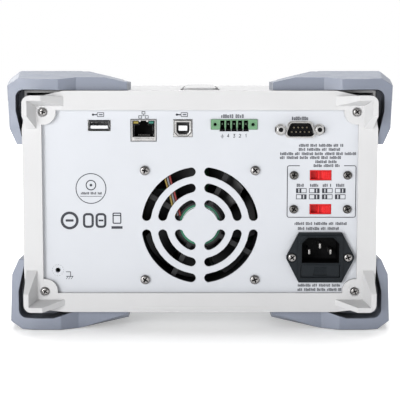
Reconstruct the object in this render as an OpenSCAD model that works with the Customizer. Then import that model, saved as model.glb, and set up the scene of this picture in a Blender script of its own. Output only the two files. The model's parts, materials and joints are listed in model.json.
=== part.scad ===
// Bench power supply in a sheet-metal case with corner guards.
// Millimetres, +Z up. The front faces -Y, the rear faces +Y, and the guards' soles stand on z = 0.

/* [Case] */
// Width of the case
body_w = 229; // [226:0.5:236]
// Height of the case
body_h = 144; // [144:0.5:150]
// Depth of the case, from the bezel's face to the rear frame's face
body_d = 300; // [290:5:340]
// Thickness of the sheet metal
sheet_t = 1.5; // [1.2:0.1:2]
// Width of the rear frame's border round the rear panel
frame_border = 12.5; // [12:0.1:13]
// Depth of the rear frame
frame_d = 14; // [12:1:18]
// How far the rear panel lies below the rear frame's face
panel_sink = 3; // [2:0.5:3.5]
// Depth of the front bezel
bezel_d = 22; // [20:1:26]

/* [Corner guards] */
// How far the lower guards stand below the case, as feet
foot_h = 12; // [11:0.5:14]
// How far the upper guards stand above the case
guard_rise = 12.6; // [11:0.1:13]
// How far the guards stand out at the sides
guard_side = 10.5; // [9:0.5:12]
// Length of a guard along the case
guard_len = 56; // [50:1:60]
// Gap between a guard's lip and the case at the corner
guard_gap = 4.2; // [3.6:0.1:4.6]

/* [Rear frame ears] */
// How far the ears stand out behind the rear frame
ear_out = 10; // [8:0.5:12]
// Thickness of an ear's rim
ear_rim = 3.2; // [2.5:0.1:4]

/* [Fan] */
// Side of the square fan
fan_side = 80; // [80:1:80]
// Depth of the fan
fan_d = 25; // [20:5:25]
// Height of the fan's centre above the case's underside
fan_z = 56.8; // [54:0.1:60]
// Distance between the fan's screws
fan_pitch = 71.5; // [71.5:0.1:71.5]

/* [Front panel] */
// How far the binding posts stand out in front of the bezel
post_out = 20; // [19:0.5:24]
// Distance between neighbouring binding posts
post_pitch = 19.05; // [19.05:0.01:20]
// How far a key stands out of the bezel
key_proud = 1.8; // [1.2:0.1:2.5]

/* [Handle] */
// Width of the lift handle
handle_w = 22; // [20:0.5:24]
// Distance from the case's rear face to the handle's end
handle_set = 30; // [28:1:36]
// How far the handle can be pulled up
handle_lift = 22; // [18:1:24]

/* [Hidden] */
$fn = 48;
SIDES = [-1, 1];
SIDE_NAME = ["left", "right"];
POST_X = [for (i = [0:4]) (i - 1) * post_pitch + 10];
SOFTKEY_X = [for (i = [0:4]) -86 + i * 20];
CHANNEL_Z = [122, 106];

// Places that the rest is measured from
total_d = ear_out + body_d + post_out;
y_rear = total_d / 2 - ear_out;                 // rear frame's face
y_front = y_rear - body_d;                      // bezel's face
y_mid = (y_rear + y_front) / 2;
y_panel = y_rear - panel_sink;                  // rear panel's outer face
half_w = body_w / 2;
half_h = body_h / 2;
z_mid = foot_h + half_h;                        // middle of the case
z_fan = foot_h + fan_z;
panel_w = body_w - 2 * frame_border + 4.6;
panel_h = body_h - 2 * frame_border + 4.6;
gap = 0.2;                                      // room between neighbouring static pieces

// Places on the rear panel, as seen from the front: x, then height above z = 0
USB_HOST = [65, 133.6];
LAN = [36.4, 130.5];
USB_DEVICE = [11, 131.9];
IO = [-22, 134.3];
SERIAL = [-64.5, 131];
GROUND = [92.8, 39.2];
ground_r = 1.65;                                // core of an M4 thread
SELECTOR = [[-78.2, 101.4], [-78.2, 79.3]];
INLET = [-78.2, 47.9];
FRAME_SCREW = [100.9, 58.4];                    // from the middle of the case
selector_pitch = 17.35;                         // from a selector's middle to its screw
inlet_pitch = 18.2;                             // from the inlet's middle to its screw
jack_pitch = 12.5;                              // from the serial port's middle to its jackscrew
LEG_Y = [y_rear - handle_set - 12, y_front + handle_set + 12];
channel_w = handle_w + 5;                       // pressed channel that the handle lies in
channel_d = 2.8;

// ---- helpers ----

// A shape drawn in x and z, made solid from y0 to y1
module along_y(y0, y1) translate([0, y1, 0]) rotate([90, 0, 0]) linear_extrude(y1 - y0) children();

// A shape drawn in y and z, made solid from x0 to x1
module along_x(x0, x1) translate([x0, 0, 0]) rotate([90, 0, 90]) linear_extrude(x1 - x0) children();

// A shape drawn in x and y, made solid from z0 to z1
module along_z(z0, z1) translate([0, 0, z0]) linear_extrude(z1 - z0) children();

// A rectangle about the origin with round corners
module round_rect(w, h, r) {
    square([w - 2 * r, h], center = true);
    square([w, h - 2 * r], center = true);
    for (x = SIDES, y = SIDES) translate([x * (w / 2 - r), y * (h / 2 - r)]) circle(r);
}

// Everything on the far side of a plane through point p with normal n
module beyond(p, n, reach = 260) {
    length = norm(n);
    translate(p) rotate([0, acos(n[2] / length), atan2(n[1], n[0])])
        translate([-reach, -reach, 0]) cube([2 * reach, 2 * reach, reach]);
}

// Points on an arc, from angle a0 to a1 in steps
function arc(centre, r, a0, a1, steps) =
    [for (i = [0:steps]) let (a = a0 + (a1 - a0) * i / steps) centre + r * [cos(a), sin(a)]];

// ---- case ----

module case_outline(inset = 0)
    translate([0, z_mid]) square([body_w - 2 * inset, body_h - 2 * inset], center = true);

// Vent slots in the two side walls
module side_vents() {
    for (row = [0:9], y = [y_rear - 120, y_rear - 170])
        translate([0, y, z_mid - 32 + row * 7]) along_x(-half_w - 1, half_w + 1) {
            square([30, 3], center = true);
            for (e = SIDES) translate([e * 15, 0]) circle(1.5);
        }
}

// The cover is an upturned U with a channel pressed into its top
module top_cover() {
    top = z_mid + half_h;
    channel_l = body_d - 2 * handle_set + 5;
    color("whitesmoke") difference() {
        union() {
            along_y(y_front + bezel_d + gap, y_rear - frame_d - gap) difference() {
                case_outline();
                case_outline(sheet_t);
                translate([-half_w - 1, foot_h - 1]) square([body_w + 2, 1 + sheet_t + gap]);
            }
            translate([0, y_mid, 0]) along_z(top - channel_d - sheet_t, top - sheet_t / 2)
                round_rect(channel_w + 2 * sheet_t, channel_l + 2 * sheet_t, 6.5);
        }
        translate([0, y_mid, 0]) along_z(top - channel_d, top + 1) round_rect(channel_w, channel_l, 5);
        for (y = LEG_Y) translate([0, y, top]) cube([handle_w - 2, 4, 16], center = true);
        side_vents();
    }
}

module chassis() {
    inner = sheet_t + gap;
    color("silver") difference() {
        along_y(y_front + bezel_d + gap, y_rear - frame_d - gap) difference() {
            translate([-half_w, foot_h]) square([body_w, 14]);
            translate([-half_w + inner + sheet_t, foot_h + sheet_t])
                square([body_w - 2 * (inner + sheet_t), 14]);
            for (side = SIDES) translate([side * (half_w - inner / 2), foot_h + sheet_t + 10])
                square([inner, 20], center = true);
        }
        for (row = [0:7], side = SIDES) translate([side * 40, -40 + row * 9, foot_h])
            cube([50, 4, 8], center = true);
    }
}

// ---- rear frame ----

// An ear's outer corner, which lies a little inside the case's, more at the top than at the bottom
function ear_corner(level) = [half_w, half_h] - (level > 0 ? [1.5, 3] : [0.8, 1.5]);

// How long an ear's upright lip is: its full part, then its tapered part
function ear_lip(level) = level > 0 ? [13, 8.5] : [12, 14];
ear_bar = [12, 13.5];                           // the same for the lip across
ear_round = 5;                                  // radius of an ear's corner

// The frame's outline: the case's, drawn in along the lips' tapers to the ears' outer corners
module frame_outline() {
    difference() {
        case_outline();
        for (level = SIDES, side = SIDES) translate([0, z_mid]) corner_2d(side, level) {
            c = ear_corner(level);
            x_full = c[0] - ear_bar[0];
            z_full = c[1] - ear_lip(level)[0];
            x_in = x_full - ear_bar[1];
            z_in = z_full - ear_lip(level)[1];
            polygon([[x_in, half_h + 1], [x_in, half_h], [x_full, c[1]], c, [c[0], z_full],
                     [half_w, z_in], [half_w + 1, z_in], [half_w + 1, half_h + 1]]);
            translate(c - [ear_round, ear_round]) difference() {
                square(ear_round + 2);
                circle(ear_round);
            }
        }
    }
}

// Mirrors a shape drawn for the upper right corner into another corner, in 2-D and in 3-D
module corner_2d(side, level) mirror([side < 0 ? 1 : 0, 0]) mirror([0, level < 0 ? 1 : 0]) children();
module corner_of(side, level) translate([0, 0, z_mid]) mirror([side < 0 ? 1 : 0, 0, 0])
    mirror([0, 0, level < 0 ? 1 : 0]) children();

// One ear: two lips that meet at a round corner, taper to the frame's face and thicken towards it
module ear(level) {
    c = ear_corner(level);
    lip = ear_lip(level);
    base = 0.6;                                 // sunk into the frame, so that it is one piece
    thick = ear_rim + 3.8;                      // where a lip meets the frame
    draw_in = level > 0 ? [2, 0.7] : [1, 3];    // how far a lip's outer edge draws in over its taper
    intersection() {
        union() {
            difference() {
                along_z(c[1] - lip[0] - lip[1] - 1, c[1]) polygon([
                    [c[0], y_rear - base], [c[0], y_rear + ear_out],
                    [c[0] - ear_rim, y_rear + ear_out], [c[0] - thick - 1, y_rear - base]]);
                beyond([c[0], y_rear + ear_out, c[1] - lip[0]], [0, lip[1], -ear_out]);
                beyond([c[0], 0, c[1] - lip[0]], [lip[1], 0, -draw_in[0]]);
            }
            difference() {
                along_x(c[0] - ear_bar[0] - ear_bar[1] - 1, c[0]) polygon([
                    [y_rear - base, c[1]], [y_rear + ear_out, c[1]],
                    [y_rear + ear_out, c[1] - ear_rim], [y_rear - base, c[1] - thick]]);
                beyond([c[0] - ear_bar[0], y_rear + ear_out, c[1]], [-ear_out, ear_bar[1], 0]);
                beyond([c[0] - ear_bar[0], 0, c[1]], [-draw_in[1], 0, ear_bar[1]]);
            }
        }
        along_y(y_rear - base, y_rear + ear_out) union() {
            translate(c - [ear_round, ear_round]) circle(ear_round);
            translate(c - [40, 40]) square([40 - ear_round, 40]);
            translate(c - [40, 40]) square([40, 40 - ear_round]);
        }
    }
}

module rear_frame() {
    color("whitesmoke") difference() {
        union() {
            along_y(y_rear - frame_d, y_rear) difference() {
                frame_outline();
                translate([0, z_mid]) square([panel_w + 2 * gap, panel_h + 2 * gap], center = true);
            }
            along_y(y_panel + gap / 2, y_rear) difference() {
                case_outline(6);
                translate([0, z_mid]) difference() {
                    square([body_w - 2 * frame_border, body_h - 2 * frame_border], center = true);
                    for (x = SIDES, z = SIDES)
                        translate([x * FRAME_SCREW[0], z * FRAME_SCREW[1]]) circle(8.2);
                }
            }
            for (side = SIDES, level = SIDES) corner_of(side, level) ear(level);
        }
        for (x = SIDES, z = SIDES) translate([x * FRAME_SCREW[0], y_rear, z_mid + z * FRAME_SCREW[1]])
            rotate([90, 0, 0]) {
                translate([0, 0, -20]) cylinder(r = 3.2, h = 21.2);
                cylinder(r = 1.7, h = 10);
            }
    }
}

module pan_screw(head_r, head_h, shank_r, shank_l) {
    difference() {
        union() {
            cylinder(r = head_r, h = head_h * 0.6);
            translate([0, 0, head_h * 0.6]) cylinder(r1 = head_r, r2 = head_r * 0.7, h = head_h * 0.4);
            translate([0, 0, -shank_l]) cylinder(r = shank_r, h = shank_l);
        }
        for (a = [45, 135]) rotate(a) translate([0, 0, head_h])
            cube([head_r * 1.1, head_r * 0.26, head_h], center = true);
    }
}

// A screw that goes in from the rear, at x and z, with its head's underside at y
module rear_screw(x, y, z, head_r, head_h, shank_r, shank_l)
    translate([x, y, z]) rotate([-90, 0, 0]) pan_screw(head_r, head_h, shank_r, shank_l);

module frame_screws() color("silver") for (x = SIDES, z = SIDES)
    rear_screw(x * FRAME_SCREW[0], y_rear - 1.1, z_mid + z * FRAME_SCREW[1], 2.7, 1.4, 1.5, 6);

// ---- rear panel ----

// Outline of an arc slot with round ends: middle radius r, half-width w, from angle s to 90 - s
function slot_points(r, w, s) = let (e = 90 - s) concat(
    arc([0, 0], r + w, s, e, 12), arc(r * [cos(e), sin(e)], w, e + 15, e + 165, 10),
    arc([0, 0], r - w, e, s, 8), arc(r * [cos(s), sin(s)], w, s + 195, s + 345, 10));

// The fan grille: three rings of slots, each in four quarters
module grille_slots() {
    slot = 2.95;                                // half the slot's width
    spoke = 2.75 + slot;                        // from the axis to the middle of a slot's end
    for (ring = [0:2], quarter = [0:3]) {
        r = 14.6 + ring * 10.3;
        rotate(quarter * 90) polygon(slot_points(r, slot, asin(spoke / r)));
    }
}

// D shape of a 9-way connector, w wide and h high, narrower at the top
module d_shape(w, h, r) {
    slope = 10;
    lean = 2 * r + h * tan(slope) - r;
    polygon(concat(
        arc([w / 2 - r, -h / 2 + r], r, 270, 360 + slope, 5), arc([w / 2 - lean, h / 2 - r], r, slope, 90, 5),
        arc([-w / 2 + lean, h / 2 - r], r, 90, 180 - slope, 5),
        arc([-w / 2 + r, -h / 2 + r], r, 180 - slope, 270, 5)));
}

module rear_panel() {
    color("gainsboro") {
        panel_sheet();
        along_y(y_panel - 4, y_panel - sheet_t + 0.1) translate(GROUND) difference() {
            circle(3.3);
            circle(ground_r);
        }
    }
}

module panel_sheet() {
    along_y(y_panel - sheet_t, y_panel) difference() {
        translate([0, z_mid]) square([panel_w, panel_h], center = true);
        translate([0, z_fan]) {
            grille_slots();
            for (x = SIDES, z = SIDES) translate([x, z] * fan_pitch / 2) circle(2.2);
        }
        translate(USB_HOST) square([14.8, 7.2], center = true);
        translate(LAN) square([16.9, 14.6], center = true);
        translate(USB_DEVICE) square([12.5, 11.6], center = true);
        translate(IO) {
            square([30.2, 6.8], center = true);
            for (i = [-2:2]) translate([i * io_pitch, -3.3])
                polygon([[-1.5, 0], [1.5, 0], [1.9, -1.2], [-1.9, -1.2]]);
        }
        translate(SERIAL) {
            d_shape(19.4, 11, 3);
            for (x = SIDES) translate([x * jack_pitch, 0]) circle(3.8);
        }
        for (s = SELECTOR) translate(s) {
            square([14.2, 6.8], center = true);
            for (x = SIDES) translate([x * selector_pitch, 0]) circle(1.7);
        }
        translate(INLET) {
            square([29.6, 29.6], center = true);
            for (x = SIDES) translate([x * inlet_pitch, 0]) circle(1.7);
        }
        translate(GROUND) circle(ground_r);
        for (x = SIDES, z = SIDES) translate([x * FRAME_SCREW[0], z_mid + z * FRAME_SCREW[1]]) circle(1.7);
    }
}

// ---- guards ----

// Outline of a guard in one corner, as x and height from the case's middle. rise is its overhang,
// full and end are where its arm starts to taper and where it stops, tip is its thickness there,
// and corner is the width of its chamfered corner.
function guard_outline(rise, full, end, tip, corner) = [
    [end, half_h + 0.15], [end, half_h + tip], [full, half_h + rise],
    [half_w + guard_side - corner, half_h + rise], [half_w + guard_side, half_h + rise - 5.5],
    [half_w + guard_side, half_h - 20],
    [half_w + 3.8, half_h - 34.5], [half_w + 0.8, half_h - 34.5]];

// Inner edge of the lip, which stands off the corner, from the side arm to the top arm
function lip_edge(drop, flat) = concat(
    [[half_w, half_h - 31], [half_w + guard_gap, half_h - 13]],
    arc([half_w + guard_gap - 5, half_h + drop - 5], 5, 0, 90, 5),
    [[flat, half_h + (drop > 1 ? drop : 0.5)], [flat - 14, half_h + 0.15]]);

// One guard; its arm thins from x = full to x = end, and its rear face steps forward at x = step
module guard(level, end, full, step) {
    rise = level > 0 ? guard_rise : foot_h;
    lip = 16;                                   // depth of the hollow lip
    drop = level > 0 ? 0.7 : guard_gap;
    tip = level > 0 ? 5.3 : 5.6;
    corner = level > 0 ? 6.5 : 8.5;
    outline = guard_outline(rise, full, end, tip, corner);
    difference() {
        along_y(-guard_len, 0) polygon(concat(outline, [[half_w - 30, half_h - 40]]));
        along_y(-guard_len - 1, 1) translate([half_w + 0.15 - 130, half_h + 0.15 - 90]) square([130, 90]);
        along_y(-lip, 1) polygon(concat(lip_edge(drop, step + 5), [[0, half_h], [0, half_h - 31]]));
        // the end face slopes away outwards, and steps back inwards of the corner
        beyond([half_w - 7, 0, 0], [0.27, 1, 0]);
        along_z(0, 120) polygon([[step, 0], [step - 11, -6], [0, -6], [0, 1], [step, 1]]);
        // the side slopes in towards both ends
        beyond([half_w + guard_side - 1.8, -4, half_h - 20], [1, 0.075, -0.04]);
        beyond([half_w + guard_side - 1.8, -guard_len, 0], [1, -0.15, 0]);
        // the top of an upper guard and the sole of a lower one slope in towards both ends too
        if (level > 0) {
            beyond([0, 0, half_h + rise - 5.2], [0, 0.184, 1]);
            beyond([half_w + 1.7, 0, half_h + rise - 5.1], [0.7, 0.26, 1]);
            beyond([0, -guard_len, half_h + rise - 5.2], [0, -0.35, 1]);
        } else {
            beyond([step, 0, half_h + rise], [-0.31, 0.62, 1]);
            beyond([0, -guard_len, half_h + rise - 2], [0, -0.5, 1]);
        }
        // the other end steps back in the same way
        along_z(0, 120) polygon([[step, -guard_len], [step - 11, -guard_len + 8], [0, -guard_len + 8],
            [0, -guard_len - 1], [step, -guard_len - 1]]);
    }
}

// The rear guards have the longer arms
module corner_guard(end, level, side) color("lightsteelblue") corner_of(side, level)
    translate([0, end > 0 ? y_rear : y_front, 0]) mirror([0, end > 0 ? 0 : 1, 0])
        if (end > 0) guard(level, 47, 80, 91);
        else guard(level, 68, 96, 103);

// ---- fan ----

fan_bore = 38;
hub_r = 14.6;
shaft_r = 1.5;
y_fan = y_panel - sheet_t - 0.1;                // fan's rear face

// The housing holds the stator and its bearing in the middle, on four struts
module fan_housing() {
    color("dimgray") translate([0, y_fan, z_fan]) rotate([90, 0, 0]) {
        difference() {
            linear_extrude(fan_d) difference() {
                round_rect(fan_side, fan_side, 4);
                circle(fan_bore, $fn = 96);
                for (x = SIDES, z = SIDES) translate([x, z] * fan_pitch / 2) circle(2.2);
            }
            for (a = [0:90:270]) rotate(a) translate([0, 0, 5]) linear_extrude(fan_d - 10)
                difference() {
                    translate([30, 30]) square(12);
                    circle(fan_bore + 2.4, $fn = 96);
                }
            translate([18.5, 28, -1]) cube([8.5, 14, 3.4]);
        }
        difference() {
            union() {
                translate([0, 0, 2]) cylinder(r = hub_r, h = 4.5);
                translate([0, 0, 6.4]) cylinder(r = 12.4, h = 11);
            }
            translate([0, 0, 4]) cylinder(r = shaft_r + 0.04, h = 14);
        }
        for (a = [30, 118, 210, 298]) rotate(a) translate([hub_r - 0.5, -1.6, 2.8])
            cube([fan_bore - hub_r + 1, 3.2, 3.2]);
    }
}

// The rotor is a cup over the stator, with the shaft inside and seven blades outside
module fan_rotor() {
    blades = 7;
    depth = fan_d - 8.4;
    color("black") translate([0, y_fan, z_fan]) rotate([90, 0, 0]) {
        difference() {
            translate([0, 0, 7.2]) cylinder(r = 16.5, h = depth);
            translate([0, 0, 7.1]) cylinder(r = 14, h = 12);
        }
        translate([0, 0, 5]) cylinder(r = shaft_r, h = 15);
        intersection() {
            difference() {
                translate([0, 0, 7.2]) cylinder(r = fan_bore - 0.9, h = depth);
                cylinder(r = 16, h = fan_d);
            }
            union() for (i = [0:blades - 1]) rotate(i * 360 / blades)
                translate([26, 0, 7.2 + depth / 2]) rotate([38, 0, 0]) cube([26, 22, 1.3], center = true);
        }
    }
}

// A tube of radius r along points, one ring of sides at each point
module tube(points, r, sides = 8) {
    n = len(points);
    function heading(i) = let (d = points[min(i + 1, n - 1)] - points[max(i - 1, 0)]) d / norm(d);
    function across(t) = cross(t, [1, 0, 0]) / norm(cross(t, [1, 0, 0]));
    rings = [for (i = [0:n - 1], k = [0:sides - 1])
        let (t = heading(i), u = across(t), v = cross(t, u), a = k * 360 / sides)
            points[i] + r * (cos(a) * u + sin(a) * v)];
    polyhedron(rings, concat(
        [[for (k = [0:sides - 1]) k]], [[for (k = [sides - 1:-1:0]) (n - 1) * sides + k]],
        [for (i = [0:n - 2], k = [0:sides - 1]) let (m = (k + 1) % sides)
            [i * sides + k, (i + 1) * sides + k, (i + 1) * sides + m, i * sides + m]]), convexity = 4);
}

// The fan's three wires, from its hub through the notch in its housing and on over the top
LEAD = [[14.5, -1.2, 6], [15.6, -1.2, 10], [17, -1, 16], [18.6, -1, 22], [20.4, -1, 28], [22, -1, 34],
        [22.8, -1, 40], [23, -2, 42.6], [23, -5, 44], [23, -12, 44.4], [23, -24, 44.4]];
module fan_lead() color("firebrick") for (i = [-1:1])
    tube([for (p = LEAD) p + [i * 1.7, y_fan, z_fan]], 0.65);

module fan_screws() color("silver") for (x = SIDES, z = SIDES)
    rear_screw(x * fan_pitch / 2, y_panel + 0.05, z_fan + z * fan_pitch / 2, 3.3, 2, 2.1, 10);

// ---- mains inlet and voltage selector ----

inlet_socket = [24.4, 16.8];
inlet_socket_z = 5.1;                           // the socket's middle above the inlet's middle
drawer = [25.6, 8.4];
drawer_z = -8.6;

module socket_shape(grow = 0) {
    w = inlet_socket[0] / 2 + grow;
    h = inlet_socket[1] / 2 + grow;
    polygon([[-w, -h], [w, -h], [w, h - 4], [w - 4, h], [-w + 4, h], [-w, h - 4]]);
}

module power_inlet() {
    color("black") translate([INLET[0], 0, INLET[1]]) difference() {
        union() {
            along_y(y_panel + 0.05, y_panel + 3) intersection() {
                polygon([[-22.5, 0], [-14, 16.4], [14, 16.4], [22.5, 0], [14, -16.4], [-14, -16.4]]);
                round_rect(44, 32.8, 3);
            }
            along_y(y_panel - 26, y_panel + 4.2) round_rect(29, 29.2, 2);
        }
        along_y(y_panel - 14, y_panel + 5) translate([0, inlet_socket_z]) socket_shape();
        along_y(y_panel - 22, y_panel + 5) translate([0, drawer_z]) square(drawer, center = true);
        for (x = SIDES) translate([x * inlet_pitch, y_panel, 0]) rotate([-90, 0, 0]) {
            translate([0, 0, -1]) cylinder(r = 1.7, h = 5);
            translate([0, 0, 1.4]) cylinder(r1 = 1.7, r2 = 3.4, h = 1.7);
        }
    }
}

module inlet_blades() color("silver") translate([INLET[0], y_panel, INLET[1] + inlet_socket_z])
    for (p = [[0, 2.2], [-7, -1.7], [7, -1.7]]) translate([p[0] - 1, -13.95, p[1] - 2]) cube([2, 14.5, 4]);

module inlet_screws() color("silver") for (x = SIDES)
    translate([INLET[0] + x * inlet_pitch, y_panel, INLET[1]]) rotate([-90, 0, 0]) difference() {
        union() {
            translate([0, 0, -6]) cylinder(r = 1.5, h = 7.5);
            translate([0, 0, 1.5]) cylinder(r1 = 1.5, r2 = 3.2, h = 1.7);
        }
        for (a = [45, 135]) rotate(a) translate([0, 0, 3.2]) cube([3.4, 0.8, 1.8], center = true);
    }

module fuse_drawer() {
    color("darkslategray") translate([INLET[0], 0, INLET[1] + drawer_z]) difference() {
        along_y(y_panel - 20, y_panel + 3.4) square([drawer[0] - 0.4, drawer[1] - 0.4], center = true);
        along_y(y_panel - 18, y_panel - 1) translate([0, 1])
            square([drawer[0] - 3, drawer[1] - 2], center = true);
        along_y(y_panel + 2.4, y_panel + 5) translate([0, -2.4]) square([9, 1.6], center = true);
    }
}

module selector_bodies() color("crimson") for (s = SELECTOR) translate([s[0], 0, s[1]]) difference() {
    union() {
        along_y(y_panel - 15, y_panel - sheet_t - 0.1) square([42, 10], center = true);
        along_y(y_panel - 3, y_panel - 0.4) square([13.8, 6.4], center = true);
    }
    along_y(y_panel - 5, y_panel + 1) square([12.6, 5.2], center = true);
    for (x = SIDES) translate([x * selector_pitch, 0, 0]) along_y(y_panel - 16, y_panel) circle(1.7);
}

module selector_slider(index) {
    s = SELECTOR[index];
    color("red") translate([s[0] - 12.6 / 2 + 3.95 + 0.1, 0, s[1]]) difference() {
        along_y(y_panel - 4.9, y_panel - 0.3) square([7.9, 5], center = true);
        along_y(y_panel - 1.6, y_panel + 1) translate([2.1, 0]) square([1.8, 5.2], center = true);
    }
}

module selector_screws() color("silver") for (s = SELECTOR, x = SIDES)
    rear_screw(s[0] + x * selector_pitch, y_panel + 0.05, s[1], 2.9, 1.8, 1.5, 9);

// ---- signal ports ----

module usb_host_port() color("silver") translate([USB_HOST[0], 0, USB_HOST[1]]) difference() {
    union() {
        along_y(y_panel - 14, y_panel + 0.3) square([13.6, 6.2], center = true);
        along_y(y_panel - 0.3, y_panel + 0.3) square([14.4, 6.8], center = true);
    }
    along_y(y_panel - 10, y_panel + 1) difference() {
        square([12.6, 5.2], center = true);
        translate([0, -1.1]) square([11, 1.9], center = true);
    }
    along_y(y_panel - 0.9, y_panel + 1) square([12.6, 5.2], center = true);
}

// The socket's plug opening, with the latch's notch at the top
lan_mouth = [12, 7.6];
lan_mouth_z = -0.4;

module lan_port() color("silver") translate([LAN[0], 0, LAN[1]]) difference() {
    along_y(y_panel - 18, y_panel + 0.3) square([16.4, 14.1], center = true);
    along_y(y_panel - 14, y_panel + 1) {
        translate([0, lan_mouth_z]) square(lan_mouth, center = true);
        translate([0, 4]) square([6, 3], center = true);
        translate([0, 5]) square([3.6, 2.6], center = true);
    }
    for (x = SIDES) translate([x * 4.8, 0, 4.9])
        along_y(y_panel - 0.5, y_panel + 1) square([3.4, 1.9], center = true);
}

module usb_device_port() color("silver") translate([USB_DEVICE[0], 0, USB_DEVICE[1]]) difference() {
    along_y(y_panel - 14, y_panel + 0.3) square([12, 11], center = true);
    along_y(y_panel - 9, y_panel + 1) difference() {
        polygon([[-4.2, 3.9], [4.2, 3.9], [4.2, -2.2], [2.5, -3.9], [-2.5, -3.9], [-4.2, -2.2]]);
        square([5.6, 3.2], center = true);
    }
    along_y(y_panel - 0.6, y_panel + 1) square([5.8, 3.4], center = true);
}

// Five poles, each a slot that is open at the bottom with a pin in it, between two screw holes
io_pitch = 3.81;
io_size = [29.8, 6.4];
module io_terminal() color("mediumseagreen") translate([IO[0], 0, IO[1]]) {
    difference() {
        along_y(y_panel - 11, y_panel + 1) square(io_size, center = true);
        for (i = [-2:2]) translate([i * io_pitch, 0]) along_y(y_panel - 7, y_panel + 2) {
            translate([0, -0.4]) square([2.7, 6], center = true);
            polygon([[-1.35, -1.6], [1.35, -1.6], [1.7, -3.5], [-1.7, -3.5]]);
        }
        for (x = SIDES) translate([x * 12.2, 0, 0]) along_y(y_panel - 7, y_panel + 2) circle(1.05);
    }
    for (i = [-2:2]) translate([i * io_pitch - 0.5, y_panel - 7.5, -0.2]) cube([1, 6.5, 1]);
}

module serial_port() color("silver") translate([SERIAL[0], 0, SERIAL[1]]) {
    along_y(y_panel - sheet_t - 1, y_panel - sheet_t - 0.1) difference() {
        round_rect(31, 12.5, 1);
        d_shape(17.4, 8.8, 2.4);
        for (x = SIDES) translate([x * jack_pitch, 0]) circle(1.6);
    }
    along_y(y_panel - sheet_t - 1, y_panel + 4.2) difference() {
        d_shape(18.4, 9.8, 2.9);
        d_shape(17.4, 8.8, 2.4);
    }
    along_y(y_panel - 12, y_panel - 2.4) d_shape(17.4, 8.8, 2.4);
    for (row = [0, 1], i = [0:4 - row]) translate([(i - 2 + row / 2) * 2.77, y_panel - 3, (row - 0.5) * 2.84])
        rotate([-90, 0, 0]) cylinder(r = 0.5, h = 5.6, $fn = 16);
}

module serial_jackscrews() color("silver") for (x = SIDES)
    translate([SERIAL[0] + x * jack_pitch, y_panel - sheet_t, SERIAL[1]]) rotate([-90, 0, 0]) difference() {
        union() {
            cylinder(r = 2.9, h = 5, $fn = 6);
            translate([0, 0, -7]) cylinder(r = 1.5, h = 7.1);
        }
        translate([0, 0, -0.5]) cylinder(r = 1.42, h = 6);
    }

// ---- inside ----

module transformer() color("saddlebrown") translate([48, 30, foot_h + sheet_t + gap]) {
    translate([-50, -40, 0]) cube([100, 80, 6]);
    translate([-46, -22, 6]) difference() {
        cube([92, 44, 78]);
        for (x = [15, 61]) translate([x, -1, 15]) cube([16, 46, 48]);
    }
    for (side = SIDES) translate([-14.8, side > 0 ? 22 : -36, 22]) cube([29.6, 14, 46]);
}

module main_board() color("darkgreen") translate([-58, -10, foot_h + sheet_t + 6]) {
    translate([-48, -90, 0]) cube([96, 180, 1.6]);
    for (i = [0:3]) translate([-30 + i * 20, -70, 1.6]) cylinder(r = 9, h = 34);
    for (i = [0:2]) translate([-36, -30 + i * 16, 1.6]) cube([14, 12, 12]);
    for (x = SIDES, y = SIDES) translate([x * 43, y * 84, -6 + 0.1]) cylinder(r = 3, h = 6.1);
}

module heat_sink() color("gray") translate([-58, 0, 70]) {
    translate([-40, -60, 0]) cube([80, 120, 6]);
    for (i = [0:9]) translate([-40 + i * 8.6, -60, 5.9]) cube([2.2, 120, 56]);
}

// The board behind the bezel, with a switch behind each key and room for the binding posts
module control_board() color("darkgreen") {
    along_y(y_front + 10.4, y_front + 12) {
        translate([0, 102]) square([200, 96], center = true);
        translate([-62, 42]) square([76, 32], center = true);
    }
    for (k = KEYS) translate([k[0], y_front + 8.4, k[1]]) cube([6, 4.2, 6], center = true);
}

// ---- handle and feet ----

module carry_handle() {
    top = z_mid + half_h;
    stop_t = 2;                                 // plate that keeps each leg in the case
    leg_l = sheet_t + channel_d + handle_lift + 1.2;
    color("gainsboro") {
        translate([0, y_mid, 0]) along_z(top - channel_d + 0.1, top + 1.4)
            round_rect(handle_w, body_d - 2 * handle_set, 3);
        for (y = LEG_Y) translate([0, y, top - channel_d + 0.2]) {
            translate([-handle_w / 2 + 2, -1.5, -leg_l]) cube([handle_w - 4, 3, leg_l]);
            translate([-handle_w / 2 - 2, -2.5, -leg_l]) cube([handle_w + 4, 5, stop_t]);
        }
    }
}

foot_x = 45;
foot_pivot = [y_front + 38, 6.6];
foot_pin = 2;

module foot_brackets() color("slategray") for (side = SIDES) translate([side * foot_x, 0, 0])
    for (ear_side = SIDES) along_x(ear_side * 17.6 - 2, ear_side * 17.6 + 2) difference() {
        polygon(concat([[foot_pivot[0] + 6, foot_h - 0.05], [foot_pivot[0] - 6, foot_h - 0.05]],
            arc(foot_pivot, 4, 180, 360, 10)));
        translate(foot_pivot) circle(foot_pin + 0.05);
    }

module tilt_foot(side) color("slategray") translate([side * foot_x, 0, 0]) {
    difference() {
        along_x(-15.3, 15.3) {
            translate(foot_pivot) circle(3.6);
            translate([foot_pivot[0], foot_pivot[1] - 2.4]) square([34, 4.8]);
        }
        translate([0, foot_pivot[0] + 20, foot_pivot[1] + 2]) cube([18, 14, 3], center = true);
    }
    for (ear_side = SIDES) along_x(ear_side * 17.4 - 2.2, ear_side * 17.4 + 2.2)
        translate(foot_pivot) circle(foot_pin);
}

// ---- front panel ----

WINDOW = [-46, 113];
window_size = [106, 64];
KNOB = [80, 118];
POWER = [-92, 38];
OUTPUT = [80, 84];
z_post = 38;
key_slack = 0.35;

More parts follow.
